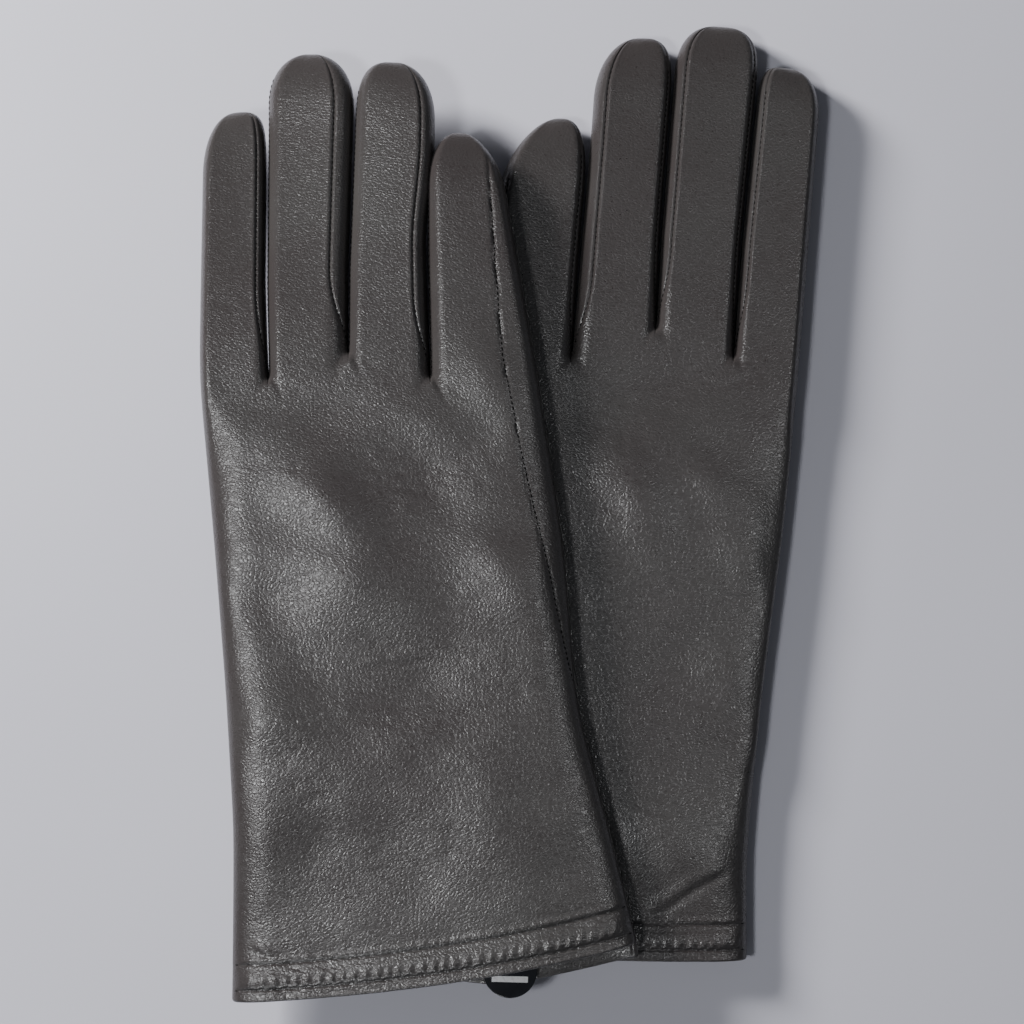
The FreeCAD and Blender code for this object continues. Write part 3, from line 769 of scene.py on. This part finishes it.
def weld(obj):
    """Merge doubled points, drop loose ones and close the poles."""
    data = bmesh.new()
    data.from_mesh(obj.data)
    bmesh.ops.remove_doubles(data, verts=data.verts, dist=WELD)
    loose = [v for v in data.verts if not v.link_faces]
    bmesh.ops.delete(data, geom=loose, context="VERTS")
    data.to_mesh(obj.data)
    data.free()


def describe_piece(nodes):
    """Hide the frame nodes that a piece stands for."""
    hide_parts(*nodes)


def register_piece(obj, body, nodes):
    """Attach a finished piece to the body it rides on and hide the frame nodes it stands for."""
    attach(obj, body)
    describe_piece(nodes)


# ---------------------------------------------------------------- materials

class Shader:
    """Node material being made, its textures placed by object coordinates."""

    def __init__(self, name, stretch=(1.0, 1.0, 1.0)):
        material = bpy.data.materials.new(name)
        material.use_nodes = True
        self.material = material
        self.nodes = material.node_tree.nodes
        self.links = material.node_tree.links
        self.nodes.clear()
        output = self.nodes.new("ShaderNodeOutputMaterial")
        self.surface = self.nodes.new("ShaderNodeBsdfPrincipled")
        self.links.new(self.surface.outputs["BSDF"], output.inputs["Surface"])
        place = self.nodes.new("ShaderNodeTexCoord")
        mapping = self.nodes.new("ShaderNodeMapping")
        mapping.inputs["Scale"].default_value = stretch
        self.links.new(place.outputs["Object"], mapping.inputs["Vector"])
        self.vector = mapping.outputs["Vector"]

    def hold(self, socket, value):
        """Give one input of the surface a fixed value."""
        self.surface.inputs[socket].default_value = value

    def feed(self, socket, output):
        """Drive one input of the surface."""
        self.links.new(output, self.surface.inputs[socket])

    def noise(self, scale, detail, rough=0.5, output="Fac"):
        """Noise texture."""
        node = self.nodes.new("ShaderNodeTexNoise")
        node.inputs["Scale"].default_value = scale
        node.inputs["Detail"].default_value = detail
        node.inputs["Roughness"].default_value = rough
        self.links.new(self.vector, node.inputs["Vector"])
        return node.outputs[output]

    def ramp(self, factor, *stops):
        """Colour ramp with (position, grey or colour) stops."""
        node = self.nodes.new("ShaderNodeValToRGB")
        for element, (position, tint) in zip(node.color_ramp.elements, stops):
            element.position = position
            element.color = (*tint, 1.0) if hasattr(tint, "__len__") else (tint, tint, tint, 1.0)
        self.links.new(factor, node.inputs["Fac"])
        return node.outputs["Color"]

    def bump(self, height, distance, strength, normal=None):
        """Bump from a height, on top of an earlier normal."""
        node = self.nodes.new("ShaderNodeBump")
        node.inputs["Distance"].default_value = distance
        node.inputs["Strength"].default_value = strength
        self.links.new(height, node.inputs["Height"])
        if normal is not None:
            self.links.new(normal, node.inputs["Normal"])
        return node.outputs["Normal"]

    def pebbles(self, size, jitter):
        """Rounded cells of a size, their borders shifted by up to a jitter, in metres."""
        cells = self.nodes.new("ShaderNodeTexVoronoi")
        cells.feature = "DISTANCE_TO_EDGE"
        cells.inputs["Scale"].default_value = 1.0 / size
        warp = self.nodes.new("ShaderNodeVectorMath")
        warp.operation = "MULTIPLY_ADD"
        self.links.new(self.noise(700.0, 2.0, output="Color"), warp.inputs[0])
        warp.inputs[1].default_value = (jitter, jitter, jitter)
        self.links.new(self.vector, warp.inputs[2])
        self.links.new(warp.outputs["Vector"], cells.inputs["Vector"])
        return self.ramp(cells.outputs["Distance"], (0.0, 0.0), (0.28, 1.0))


def shaded(tint, share):
    """Colour made lighter or darker by a share."""
    return tuple(share * part for part in tint)


def nappa_leather():
    """Smooth charcoal nappa with a fine pebbled grain and soft rubbed patches."""
    look = finish()
    shader = Shader("nappa_leather", stretch=(0.82, 1.2, 1.0))
    patches = shader.noise(26.0, 4.0, 0.55)
    shader.feed("Base Color", shader.ramp(patches, (0.35, look.leather), (0.72, look.leather_high)))
    fine = shader.noise(900.0, 2.0, 0.6)
    low, high = look.roughness - 0.05, look.roughness + 0.09
    shader.feed("Roughness", shader.ramp(fine, (0.3, low), (0.7, high)))
    pebbled = shader.bump(shader.pebbles(look.grain, 0.0007), 0.00005, 0.75)
    creases = shader.noise(800.0, 3.0, 0.6)
    shader.feed("Normal", shader.bump(creases, 0.0001, 0.4, pebbled))
    shader.hold("Specular IOR Level", 0.9)
    shader.hold("Sheen Weight", 0.04)
    return shader.material


def knit_lining():
    """Fine dark knit with close ribs."""
    look = finish()
    shader = Shader("knit_lining", stretch=(1.0, 0.35, 1.0))
    loops = shader.noise(1500.0, 2.0)
    shader.feed("Base Color",
                shader.ramp(loops, (0.35, shaded(look.lining, 0.6)), (0.65, look.lining)))
    shader.feed("Normal", shader.bump(loops, 0.0004, 0.7))
    shader.hold("Roughness", 0.9)
    shader.hold("Sheen Weight", 0.3)
    return shader.material


def sewing_thread():
    """Dark waxed thread with a fine twist."""
    look = finish()
    shader = Shader("sewing_thread")
    twist = shader.noise(3000.0, 1.0)
    shader.feed("Base Color",
                shader.ramp(twist, (0.4, look.thread), (0.7, shaded(look.thread, 1.6))))
    shader.feed("Normal", shader.bump(twist, 0.0001, 0.5))
    shader.hold("Roughness", 0.85)
    shader.hold("Specular IOR Level", 0.1)
    return shader.material


def glossy_tab():
    """Glossy coated black tab with a faint ripple."""
    look = finish()
    shader = Shader("glossy_tab")
    ripple = shader.noise(240.0, 2.0)
    shader.feed("Base Color", shader.ramp(ripple, (0.4, look.tab), (0.7, shaded(look.tab, 1.5))))
    shader.feed("Normal", shader.bump(ripple, 0.0004, 0.25))
    shader.hold("Roughness", 0.16)
    return shader.material


def painted_reflection_bar():
    """Near-white bar whose colour is a painted reflection of the soft light, a little uneven at its
    edges.
    """
    look = finish()
    shader = Shader("painted_reflection_bar")
    # The bar's colour is a painted reflection, made uneven by noise.
    reflection_unevenness = shader.noise(900.0, 3.0)
    shader.feed("Base Color", shader.ramp(reflection_unevenness, (0.3, shaded(look.bar, 0.75)), (0.5, look.bar)))
    shader.feed("Normal", shader.bump(reflection_unevenness, 0.0001, 0.2))
    shader.hold("Roughness", 0.3)
    return shader.material


def studio_floor():
    """Plain pale matt surface."""
    look = finish()
    shader = Shader("studio_floor")
    cloud = shader.noise(5.0, 2.0)
    shader.feed("Base Color", shader.ramp(cloud, (0.3, shaded(look.floor, 0.93)), (0.7, look.floor)))
    shader.hold("Roughness", 0.8)
    return shader.material


MAKERS = {
    "nappa_leather": nappa_leather, "knit_lining": knit_lining, "sewing_thread": sewing_thread,
    "glossy_tab": glossy_tab, "painted_reflection_bar": painted_reflection_bar, "studio_floor": studio_floor,
}


def material_named(name):
    """Material of that name, made the first time it is asked for."""
    return bpy.data.materials.get(name) or MAKERS[name]()


GLOVES = {}
GRIDS = {}


def glove(side):
    """Plan of one glove, read once."""
    if side not in GLOVES:
        GLOVES[side] = Glove(side)
    return GLOVES[side]


# ---------------------------------------------------------------- finger pieces

PINNED_FINGER = ("left", "little")      # the right glove lies on it and holds it flat
BEND_START = 0.2    # where a finger's bend would start, this far above its highest crotch, mm
BEND_RUN = 16.0     # and where it would end, this much further on, mm


def hinge_blend(obj, side, finger):
    """Work out where a finger's bend would start and end, from its highest crotch onwards, and bake
    the piece's placement into its mesh; no bend is made.
    """
    plan = glove(side)
    place = plan.fingers.index(finger)
    start_v = max(root_levels(plan, place)) + BEND_START
    hinge = JOINTS["%s_%s_lift" % (side, finger)]
    middle = float(np.array(hinge["pos_m"][:2]) @ plan.across) / MM
    height = hinge["pos_m"][2] / MM
    start = plan.row_point(middle, start_v, height)
    end = plan.row_point(middle, start_v + BEND_RUN, height)
    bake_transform(obj)


def finish_finger_piece(obj, side, finger, nodes):
    """Attach the pinned finger's piece to its hand or bake the placement of any other, and hide the
    frame nodes it stands for.
    """
    if (side, finger) == PINNED_FINGER:
        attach(obj, side + "_hand")
    else:
        hinge_blend(obj, side, finger)
    describe_piece(nodes)


# ---------------------------------------------------------------- operators

class GLOVES_OT_hands(bpy.types.Operator):
    """Make the back and palm skin of both hands"""
    bl_idname = "gloves.hands"
    bl_label = "Hand skins"

    def execute(self, context):
        leather = material_named("nappa_leather")
        for side in SIDES:
            grid = hand_grid(glove(side), shape().hem_height)
            GRIDS[side + "_hand"] = grid
            obj = skin(side + "_hand_skin", grid, shape().leather_thickness, leather)
            register_piece(obj, side + "_hand", [side + "_trank"])
        return {"FINISHED"}


def fourchette_mask(plan, place, rows, columns, edge):
    """Faces of a finger's grid that belong to the fourchette on one side."""
    seam = seam_shares(plan, place)[edge]
    mask = np.zeros((rows - 1, columns), bool)
    last = SIDE_ROWS + TIP_ROWS // 3
    under = TOP_STEPS + UNDER_STEPS
    if edge == 1:
        mask[:last, seam:TOP_STEPS + 1] = True
    else:
        mask[:last, :seam] = True
        mask[:last, under - 2:] = True
    return mask


def fourchette_sides(place):
    """Sides of a finger, 0 left and 1 right, that face a neighbour."""
    return [edge for edge in (0, 1) if 0 <= place + (1 if edge else -1) <= 3]


class GLOVES_OT_fingers(bpy.types.Operator):
    """Make the leather and the fourchettes of every finger"""
    bl_idname = "gloves.fingers"
    bl_label = "Fingers and fourchettes"

    def execute(self, context):
        leather = material_named("nappa_leather")
        thickness = shape().leather_thickness
        for side in SIDES:
            plan = glove(side)
            for place, finger in enumerate(plan.fingers):
                grid = finger_grid(plan, place)
                stem = "%s_%s" % (side, finger)
                GRIDS[stem] = grid
                rows, columns = grid.shape[:2]
                rest = np.ones((rows - 1, columns), bool)
                for edge in fourchette_sides(place):
                    mask = fourchette_mask(plan, place, rows, columns, edge)
                    rest &= ~mask
                    other = plan.fingers[place + (1 if edge else -1)]
                    node = "%s_fourchette_%s_side" % (stem, other)
                    strip = skin(node + "_strip", grid, thickness, leather, mask)
                    finish_finger_piece(strip, side, finger, [node])
                obj = skin(stem + "_skin", grid, thickness, leather, rest)
                finish_finger_piece(obj, side, finger, [stem + "_finger"])
        return {"FINISHED"}


LINING_GAP = 0.35   # air between leather and lining, mm


class GLOVES_OT_linings(bpy.types.Operator):
    """Make the knitted linings of the hands and fingers"""
    bl_idname = "gloves.linings"
    bl_label = "Linings"

    def execute(self, context):
        knit = material_named("knit_lining")
        inset = shape().leather_thickness + LINING_GAP
        for side in SIDES:
            plan = glove(side)
            grid = hand_grid(plan, shape().hem_height - 1.0, inset, rows=60)
            obj = skin(side + "_hand_knit", grid, shape().lining_thickness, knit)
            register_piece(obj, side + "_hand", [side + "_hand_lining"])
            for place, finger in enumerate(plan.fingers):
                grid = finger_grid(plan, place, inset, side_rows=30, tip_rows=10)
                stem = "%s_%s" % (side, finger)
                obj = skin(stem + "_knit", grid, shape().lining_thickness, knit)
                finish_finger_piece(obj, side, finger, [stem + "_lining"])
        return {"FINISHED"}


FOLD = 0.7          # radius of the hem's fold, mm
HEM_ROWS = 40       # rows down the outside of the hem
HEM_COLUMNS = 301   # columns across the back of the hem
HEM_MARGIN = 6      # the hem stitches stop this many columns from each side


def hem_columns():
    """Shares round the cuff, closer at the sides, back first, then palm."""
    back = np.linspace(0.0, 1.0, HEM_COLUMNS)
    back = 0.82 * back + 0.18 * (0.5 - 0.5 * np.cos(math.pi * back))
    across = np.concatenate([back, back[::-2][1:-1]])
    return across, np.arange(len(across)) >= len(back)


def hem_grid(plan):
    """Rows round the folded hem: down the outside, round the fold and up inside."""
    look = shape()
    across, palm = hem_columns()
    edge = plan.cuff_v(across, palm * 1.0)
    rows = []
    for height in np.linspace(look.hem_height, FOLD, HEM_ROWS):
        rows.append(hem_row(plan, across, palm, edge + height, height, 0.0))
    for angle in np.linspace(0.0, math.pi, 8)[1:-1]:
        depth = FOLD * (1.0 - math.cos(angle))
        v = edge + FOLD - FOLD * math.sin(angle)
        rows.append(hem_row(plan, across, palm, v, FOLD, depth))
    for height in np.linspace(FOLD, look.hem_height + 1.0, 12):
        rows.append(hem_row(plan, across, palm, edge + height, height, 2.0 * FOLD))
    return np.array(rows)


def hem_row(plan, across, palm, v, height, inset):
    """One ring of hem points, with its puckered stitch rows on the outside."""
    left = plan.edge_u(0, v) + inset
    right = plan.edge_u(1, v) - inset
    u = left + across * (right - left)
    near = np.minimum(u - left, right - u)
    z = layer_heights(plan, u, v, palm, hand_profile(plan, near, across, v), inset)
    ease = 1.0 - smooth(inset / FOLD)
    relief = hem_relief(plan, u, height)
    beat = np.cos(u * 2.0 * math.pi / shape().hem_stitch)
    ripple = 0.3 * beat * bell(height - 2.0, 2.5)
    z = z + ease * np.where(palm, ripple, relief) * smooth(near / 5.0)
    return plan.to_row(u, v, z)


def hem_relief(plan, u, height):
    """Grooves and puckers of the two stitch rows, at heights above the edge."""
    look = shape()
    height = height + 0.0 * u
    drift = 0.8 * plan.noise.at(u / 9.0, height / 30.0 + 2.0)
    beat = np.cos(u * 2.0 * math.pi / look.hem_stitch + 2.5 * drift)
    strength = 0.75 + 0.5 * plan.noise.at(u / 12.0 + 7.0, height / 20.0)
    total = 0.0 * u
    for row, depth, full in ((look.hem_low_row, 0.42, 1.25), (look.hem_height, 0.3, 0.6)):
        wavy = height - row - 0.12 * beat
        total = total - depth * bell(wavy, 0.42)
        total = total + depth * (0.8 + 0.32 * beat * strength) * bell(wavy - 0.4 - full, full)
        total = total - 0.3 * depth * bell(wavy + 1.2, 1.0)
    return total + 0.42 * bell(height - 6.8, 1.9)


class GLOVES_OT_hems(bpy.types.Operator):
    """Make the turned hems of both cuffs"""
    bl_idname = "gloves.hems"
    bl_label = "Hems"

    def execute(self, context):
        leather = material_named("nappa_leather")
        for side in SIDES:
            grid = hem_grid(glove(side))
            GRIDS[side + "_hem"] = grid
            obj = skin(side + "_turned_hem", grid[::-1], 0.35, leather)
            register_piece(obj, side + "_hand", [side + "_hem_facing"])
        return {"FINISHED"}


# ---------------------------------------------------------------- stitches

SEAM_SUNK = 0.06    # depth of the seam thread below the leather, mm
HEM_SUNK = 0.16     # depth of the hem thread below the leather, mm


def stitch_tree():
    """Geometry nodes that lay one stitch after another along a curve."""
    tree = bpy.data.node_groups.get("stitch_row")
    if tree:
        return tree
    tree = bpy.data.node_groups.new("stitch_row", "GeometryNodeTree")
    sockets = tree.interface
    sockets.new_socket("Geometry", in_out="INPUT", socket_type="NodeSocketGeometry")
    for name, value in (("Pitch", 0.002), ("Stitch length", 0.0013), ("Thickness", 0.0004)):
        socket = sockets.new_socket(name, in_out="INPUT", socket_type="NodeSocketFloat")
        socket.default_value = value
        socket.subtype = "DISTANCE"
    sockets.new_socket("Material", in_out="INPUT", socket_type="NodeSocketMaterial")
    sockets.new_socket("Geometry", in_out="OUTPUT", socket_type="NodeSocketGeometry")
    nodes, links = tree.nodes, tree.links
    group_in = nodes.new("NodeGroupInput")
    group_out = nodes.new("NodeGroupOutput")
    spaced = nodes.new("GeometryNodeResampleCurve")
    spaced.mode = "LENGTH"
    points = nodes.new("GeometryNodeCurveToPoints")
    points.mode = "EVALUATED"
    ball = nodes.new("GeometryNodeMeshUVSphere")
    ball.inputs["Segments"].default_value = 8
    ball.inputs["Rings"].default_value = 5
    ball.inputs["Radius"].default_value = 0.5
    place = nodes.new("GeometryNodeInstanceOnPoints")
    size = nodes.new("ShaderNodeCombineXYZ")
    realize = nodes.new("GeometryNodeRealizeInstances")
    paint = nodes.new("GeometryNodeSetMaterial")
    links.new(group_in.outputs["Geometry"], spaced.inputs["Curve"])
    links.new(group_in.outputs["Pitch"], spaced.inputs["Length"])
    links.new(spaced.outputs["Curve"], points.inputs["Curve"])
    links.new(points.outputs["Points"], place.inputs["Points"])
    links.new(points.outputs["Rotation"], place.inputs["Rotation"])
    links.new(ball.outputs["Mesh"], place.inputs["Instance"])
    links.new(group_in.outputs["Thickness"], size.inputs["X"])
    links.new(group_in.outputs["Thickness"], size.inputs["Y"])
    links.new(group_in.outputs["Stitch length"], size.inputs["Z"])
    links.new(size.outputs["Vector"], place.inputs["Scale"])
    links.new(place.outputs["Instances"], realize.inputs["Geometry"])
    links.new(realize.outputs["Geometry"], paint.inputs["Geometry"])
    links.new(group_in.outputs["Material"], paint.inputs["Material"])
    links.new(paint.outputs["Geometry"], group_out.inputs["Geometry"])
    return tree


def set_inputs(modifier, **values):
    """Set a node modifier's inputs by the identifiers of their sockets."""
    for item in modifier.node_group.interface.items_tree:
        if item.item_type == "SOCKET" and item.in_out == "INPUT" and item.name in values:
            modifier[item.identifier] = values[item.name]


def stitch_row(name, paths, pitch, length, thickness):
    """Rows of stitches along row-frame paths, as one plain mesh."""
    curve = bpy.data.curves.new(name, "CURVE")
    curve.dimensions = "3D"
    for path in paths:
        spline = curve.splines.new("POLY")
        spline.points.add(len(path) - 1)
        spline.points.foreach_set("co", np.column_stack([path, np.ones(len(path))]).ravel())
    source = bpy.data.objects.new(name + "_path", curve)
    bpy.context.scene.collection.objects.link(source)
    modifier = source.modifiers.new("stitches", "NODES")
    modifier.node_group = stitch_tree()
    set_inputs(modifier, **{"Pitch": pitch * MM, "Stitch length": length * MM,
                            "Thickness": thickness * MM,
                            "Material": material_named("sewing_thread")})
    bpy.context.view_layer.update()
    graph = bpy.context.evaluated_depsgraph_get()
    mesh = bpy.data.meshes.new_from_object(source.evaluated_get(graph))
    mesh.name = name
    bpy.data.objects.remove(source)
    bpy.data.curves.remove(curve)
    if not mesh.polygons:
        raise RuntimeError(name + " has no stitches")
    mesh.shade_smooth()
    obj = bpy.data.objects.new(name, mesh)
    bpy.context.scene.collection.objects.link(obj)
    return obj


def sunk(path, depth):
    """Path lowered by a depth in millimetres."""
    return path - np.array([0.0, 0.0, depth * MM])


def side_seam_path(plan, low, high, grid, columns):
    """Path of the side seam between two V levels, laid on the back of a grid."""
    flat = grid[:, :columns].reshape(-1, 3)
    plan_uv = flat[:, :2] / MM @ np.array([plan.across, plan.along]).T
    path = []
    for v in np.arange(low, high, 0.8):
        u = float(plan.seam_u(np.array([v]))[0])
        distance = np.hypot(plan_uv[:, 0] - u, plan_uv[:, 1] - v)
        near = np.argsort(distance)[:4]
        weight = 1.0 / (distance[near] + 0.05)
        z = float((flat[near, 2] * weight).sum() / weight.sum()) / MM
        path.append(plan.to_row(np.array([u]), np.array([v]), np.array([z - SEAM_SUNK]))[0])
    return np.array(path)


class GLOVES_OT_stitches(bpy.types.Operator):
    """Sew the finger seams, the side seams and the hems"""
    bl_idname = "gloves.stitches"
    bl_label = "Stitches"

    def execute(self, context):
        look = shape()
        length = look.seam_stitch * 0.68
        for side in SIDES:
            plan = glove(side)
            for place, finger in enumerate(plan.fingers):
                stem = "%s_%s" % (side, finger)
                grid = GRIDS[stem]
                seams = seam_shares(plan, place)
                paths = [sunk(grid[2:SIDE_ROWS + TIP_ROWS // 3, seams[edge]], SEAM_SUNK)
                         for edge in fourchette_sides(place)]
                if finger == "little":
                    low, high = root_levels(plan, place)[0], plan.tips[place]
                    top = min(plan.knuckle + SEAM_RISES[-1], high - 0.55 * (high - low) / 2.0)
                    paths.append(side_seam_path(plan, plan.knuckle + 1.0, top, grid, TOP_STEPS + 1))
                obj = stitch_row(stem + "_seam_stitches", paths, look.seam_stitch, length,
                                 look.thread)
                finish_finger_piece(obj, side, finger, [stem + "_stitching"])
            low = plan.knuckle + SEAM_RISES[0] + 2.0
            path = side_seam_path(plan, low, plan.knuckle, GRIDS[side + "_hand"], 4 * TOP_STEPS + 1)
            seam = stitch_row(side + "_side_seam_stitches", [path], look.seam_stitch, length,
                              look.thread)
            register_piece(seam, side + "_hand", [side + "_side_seam"])
            self.sew_hem(plan)
        return {"FINISHED"}

    def sew_hem(self, plan):
        """Two rows round the back of one hem."""
        look = shape()
        grid = GRIDS[plan.side + "_hem"]
        heights = np.linspace(look.hem_height, FOLD, HEM_ROWS)
        paths = []
        for row in (look.hem_low_row, look.hem_height):
            nearest = int(np.argmin(np.abs(heights - row)))
            paths.append(sunk(grid[nearest, HEM_MARGIN:HEM_COLUMNS - HEM_MARGIN], HEM_SUNK))
        obj = stitch_row(plan.side + "_hem_stitches", paths, look.hem_stitch,
                         look.hem_stitch * 0.62, 0.85 * look.thread)
        register_piece(obj, plan.side + "_hand", [plan.side + "_hem_stitching"])


# ---------------------------------------------------------------- thumbs

THUMB_LINING_INSET = 1.1    # mm
THUMB_ROUNDING = 9.0        # length over which a thumb's ends round off, mm


def thumb_grid(side, inset, rows=70):
    """Rows of ring points of a folded thumb, closed at both ends."""
    node = side + "_thumb"
    plan = glove(side)
    points = plan.plan(node)
    low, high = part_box(node)
    base, top = low[2] / MM + inset, high[2] / MM - inset
    first, last = points[:, 1].min() + inset, points[:, 1].max() - inset
    shares = ring_shares()
    palm = is_palm(len(shares))
    grid = []
    for mark in -np.cos(np.linspace(0.0, math.pi, rows)):
        v = (first + last) / 2.0 + mark * (last - first) / 2.0
        inner = min(max(v, first + 0.05), last - 0.05)
        left, right = plan.span(node, inner)
        left, right = left + inset * 0.6, right - inset * 0.6
        if right < left:
            left = right = (left + right) / 2.0
        from_end = min(v - first, last - v)
        close = float(rounded(np.array(from_end / THUMB_ROUNDING), 2.2))
        u = (left + right) / 2.0 + shares * (right - left) / 2.0
        middle = base + (top - base) * 0.5
        profile = rounded(1.0 - np.abs(shares), np.where(palm, 2.8, 2.5))
        half = (top - base) * 0.5 * profile * close
        z = np.where(palm, middle - half, middle + half)
        grid.append(plan.to_row(u, np.full_like(u, v), z))
    return np.array(grid)


class GLOVES_OT_thumbs(bpy.types.Operator):
    """Make both folded thumbs and their linings"""
    bl_idname = "gloves.thumbs"
    bl_label = "Thumbs"

    def execute(self, context):
        for side in SIDES:
            body = side + "_thumb"
            obj = skin(side + "_thumb_skin", thumb_grid(side, 0.0), 0.0,
                       material_named("nappa_leather"))
            register_piece(obj, body, [side + "_thumb"])
            obj = skin(side + "_thumb_knit", thumb_grid(side, THUMB_LINING_INSET, 30), 0.0,
                       material_named("knit_lining"))
            register_piece(obj, body, [side + "_thumb_lining"])
        return {"FINISHED"}


# ---------------------------------------------------------------- tab

TAB_BEVEL = 0.00035     # rounding of the tab's rims, m
BAR_BEVEL = 0.00004     # rounding of the bar's rims, m
BAR_SUNK = 0.00002      # how far the bar reaches into the tab, m


def rounded_plate(name, outline, bottom, top, bevel, material):
    """Plate with rounded rims from a closed plan outline in the row frame."""
    count = len(outline)
    points = [(*p, bottom) for p in outline] + [(*p, top) for p in outline]
    faces = [tuple(range(count))[::-1], tuple(range(count, 2 * count))]
    faces += [(k, (k + 1) % count, (k + 1) % count + count, k + count) for k in range(count)]
    obj = mesh_object(name, points, faces)
    rim = obj.modifiers.new("rim", "BEVEL")
    rim.width = bevel
    rim.segments = 3
    rim.limit_method = "ANGLE"
    rim.angle_limit = math.radians(50.0)
    bake(obj)
    obj.data.shade_smooth()
    obj.data.materials.append(material)
    return obj


class GLOVES_OT_tab(bpy.types.Operator):
    """Make the round-ended tab and its plain bar"""
    bl_idname = "gloves.tab"
    bl_label = "Tab"

    def execute(self, context):
        plan = glove("right")
        points = plan.plan("right_tab")
        low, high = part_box("right_tab")
        left, right = points[:, 0].min(), points[:, 0].max()
        end, sewn = points[:, 1].min(), points[:, 1].max()
        half = (right - left) / 2.0
        middle = (left + right) / 2.0
        angles = np.linspace(math.pi, 2.0 * math.pi, 33)
        u = np.concatenate([[left], middle + half * np.cos(angles), [right]])
        v = np.concatenate([[sewn], end + half + half * np.sin(angles), [sewn]])
        outline = plan.to_row(u, v, np.zeros_like(u))[:, :2]
        obj = rounded_plate("right_cuff_tab", outline, low[2], high[2], TAB_BEVEL,
                            material_named("glossy_tab"))
        register_piece(obj, "right_tab", ["right_tab"])
        bar = plan.plan("right_tab_bar")
        low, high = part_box("right_tab_bar")
        u0, u1 = bar[:, 0].min(), bar[:, 0].max()
        v0, v1 = bar[:, 1].min(), bar[:, 1].max()
        corners = plan.to_row(np.array([u0, u1, u1, u0]), np.array([v0, v0, v1, v1]),
                              np.zeros(4))[:, :2]
        # The bar carries the painted reflection of the soft light.
        obj = rounded_plate("right_cuff_tab_bar", corners, low[2] - BAR_SUNK, high[2], BAR_BEVEL,
                            material_named("painted_reflection_bar"))
        register_piece(obj, "right_tab", ["right_tab_bar"])
        return {"FINISHED"}


# ---------------------------------------------------------------- stage

FLOOR_HALF = 1.6        # half the side of the floor, m
VIEW_SHARE = 0.9551     # share of the view's height that the gloves fill
WARM = (1.0, 0.99, 0.98)
COOL = (0.98, 0.99, 1.0)


def area_light(name, place, aim, width, power, colour, glossy=True, diffuse=True):
    """Square soft light that points at a spot; it may light only shine or only matt."""
    lamp = bpy.data.lights.new(name, "AREA")
    lamp.shape = "SQUARE"
    lamp.size = width
    lamp.energy = power
    lamp.color = colour
    obj = bpy.data.objects.new(name, lamp)
    obj.location = place
    obj.visible_glossy = glossy
    obj.visible_diffuse = diffuse
    obj.rotation_euler = (Vector(aim) - Vector(place)).to_track_quat("-Z", "Y").to_euler()
    bpy.context.scene.collection.objects.link(obj)


class GLOVES_OT_stage(bpy.types.Operator):
    """Set up the floor, the soft lights and the camera"""
    bl_idname = "gloves.stage"
    bl_label = "Floor, lights and camera"

    def execute(self, context):
        low, high = CAD_BOX
        centre = (low + high) / 2.0
        corners = [(x * FLOOR_HALF, y * FLOOR_HALF, 0) for x, y in
                   ((-1, -1), (1, -1), (1, 1), (-1, 1))]
        ground = mesh_object("studio_floor", corners, [(0, 1, 2, 3)])
        ground.data.materials.append(material_named("studio_floor"))
        area_light("key_light", (-0.72, 0.52, 0.36), centre, 0.24, 25.5, WARM, glossy=False)
        area_light("sheen_light", (-0.49, -0.15, 1.00), (-0.02, 0.0, 0.0), 0.18, 4.3, COOL)
        area_light("low_sheen_light", (0.46, -0.12, 0.96), (0.03, -0.02, 0.0), 0.16, 1.0, COOL,
                   diffuse=False)
        area_light("hem_light", (-0.22, -0.80, 0.50), centre, 0.16, 1.6, COOL, diffuse=False)
        world = bpy.data.worlds.new("studio_world")
        world.use_nodes = True
        sky = world.node_tree.nodes["Background"]
        sky.inputs["Color"].default_value = (0.8, 0.83, 0.9, 1.0)
        sky.inputs["Strength"].default_value = 0.12
        context.scene.world = world
        camera_data = bpy.data.cameras.new("camera")
        camera_data.lens = 85.0
        camera_data.sensor_width = 36.0
        camera_data.clip_end = 10.0
        camera = bpy.data.objects.new("camera", camera_data)
        context.scene.collection.objects.link(camera)
        view_width = (high.y - low.y) / VIEW_SHARE
        distance = view_width * camera_data.lens / camera_data.sensor_width
        camera.location = (centre.x, centre.y, distance + high.z * 0.5)
        context.scene.camera = camera
        return {"FINISHED"}


class GLOVES_PT_panel(bpy.types.Panel):
    """Glove pieces in the sidebar"""
    bl_idname = "GLOVES_PT_panel"
    bl_label = "Dress gloves"
    bl_space_type = "VIEW_3D"
    bl_region_type = "UI"
    bl_category = "Gloves"

    def draw(self, context):
        for group in (context.scene.glove_shape, context.scene.glove_finish):
            box = self.layout.box()
            for name in group.bl_rna.properties.keys():
                if name not in ("rna_type", "name"):
                    box.prop(group, name)
        for operator in BUILD_ORDER:
            self.layout.operator(operator.bl_idname)


BUILD_ORDER = (GLOVES_OT_stage, GLOVES_OT_hands, GLOVES_OT_fingers, GLOVES_OT_hems,
               GLOVES_OT_linings, GLOVES_OT_thumbs, GLOVES_OT_tab, GLOVES_OT_stitches)
CLASSES = (GloveShape, GloveFinish) + BUILD_ORDER + (GLOVES_PT_panel,)


def register():
    """Add the classes and the sidebar settings."""
    for item in CLASSES:
        bpy.utils.register_class(item)
    bpy.types.Scene.glove_shape = PointerProperty(type=GloveShape)
    bpy.types.Scene.glove_finish = PointerProperty(type=GloveFinish)


def unregister():
    """Remove what register added."""
    del bpy.types.Scene.glove_finish
    del bpy.types.Scene.glove_shape
    for item in reversed(CLASSES):
        bpy.utils.unregister_class(item)


def main():
    """Build the gloves and the stage in order."""
    register()
    for operator in BUILD_ORDER:
        group, name = operator.bl_idname.split(".")
        getattr(getattr(bpy.ops, group), name)()


if __name__ == "__main__":
    main()
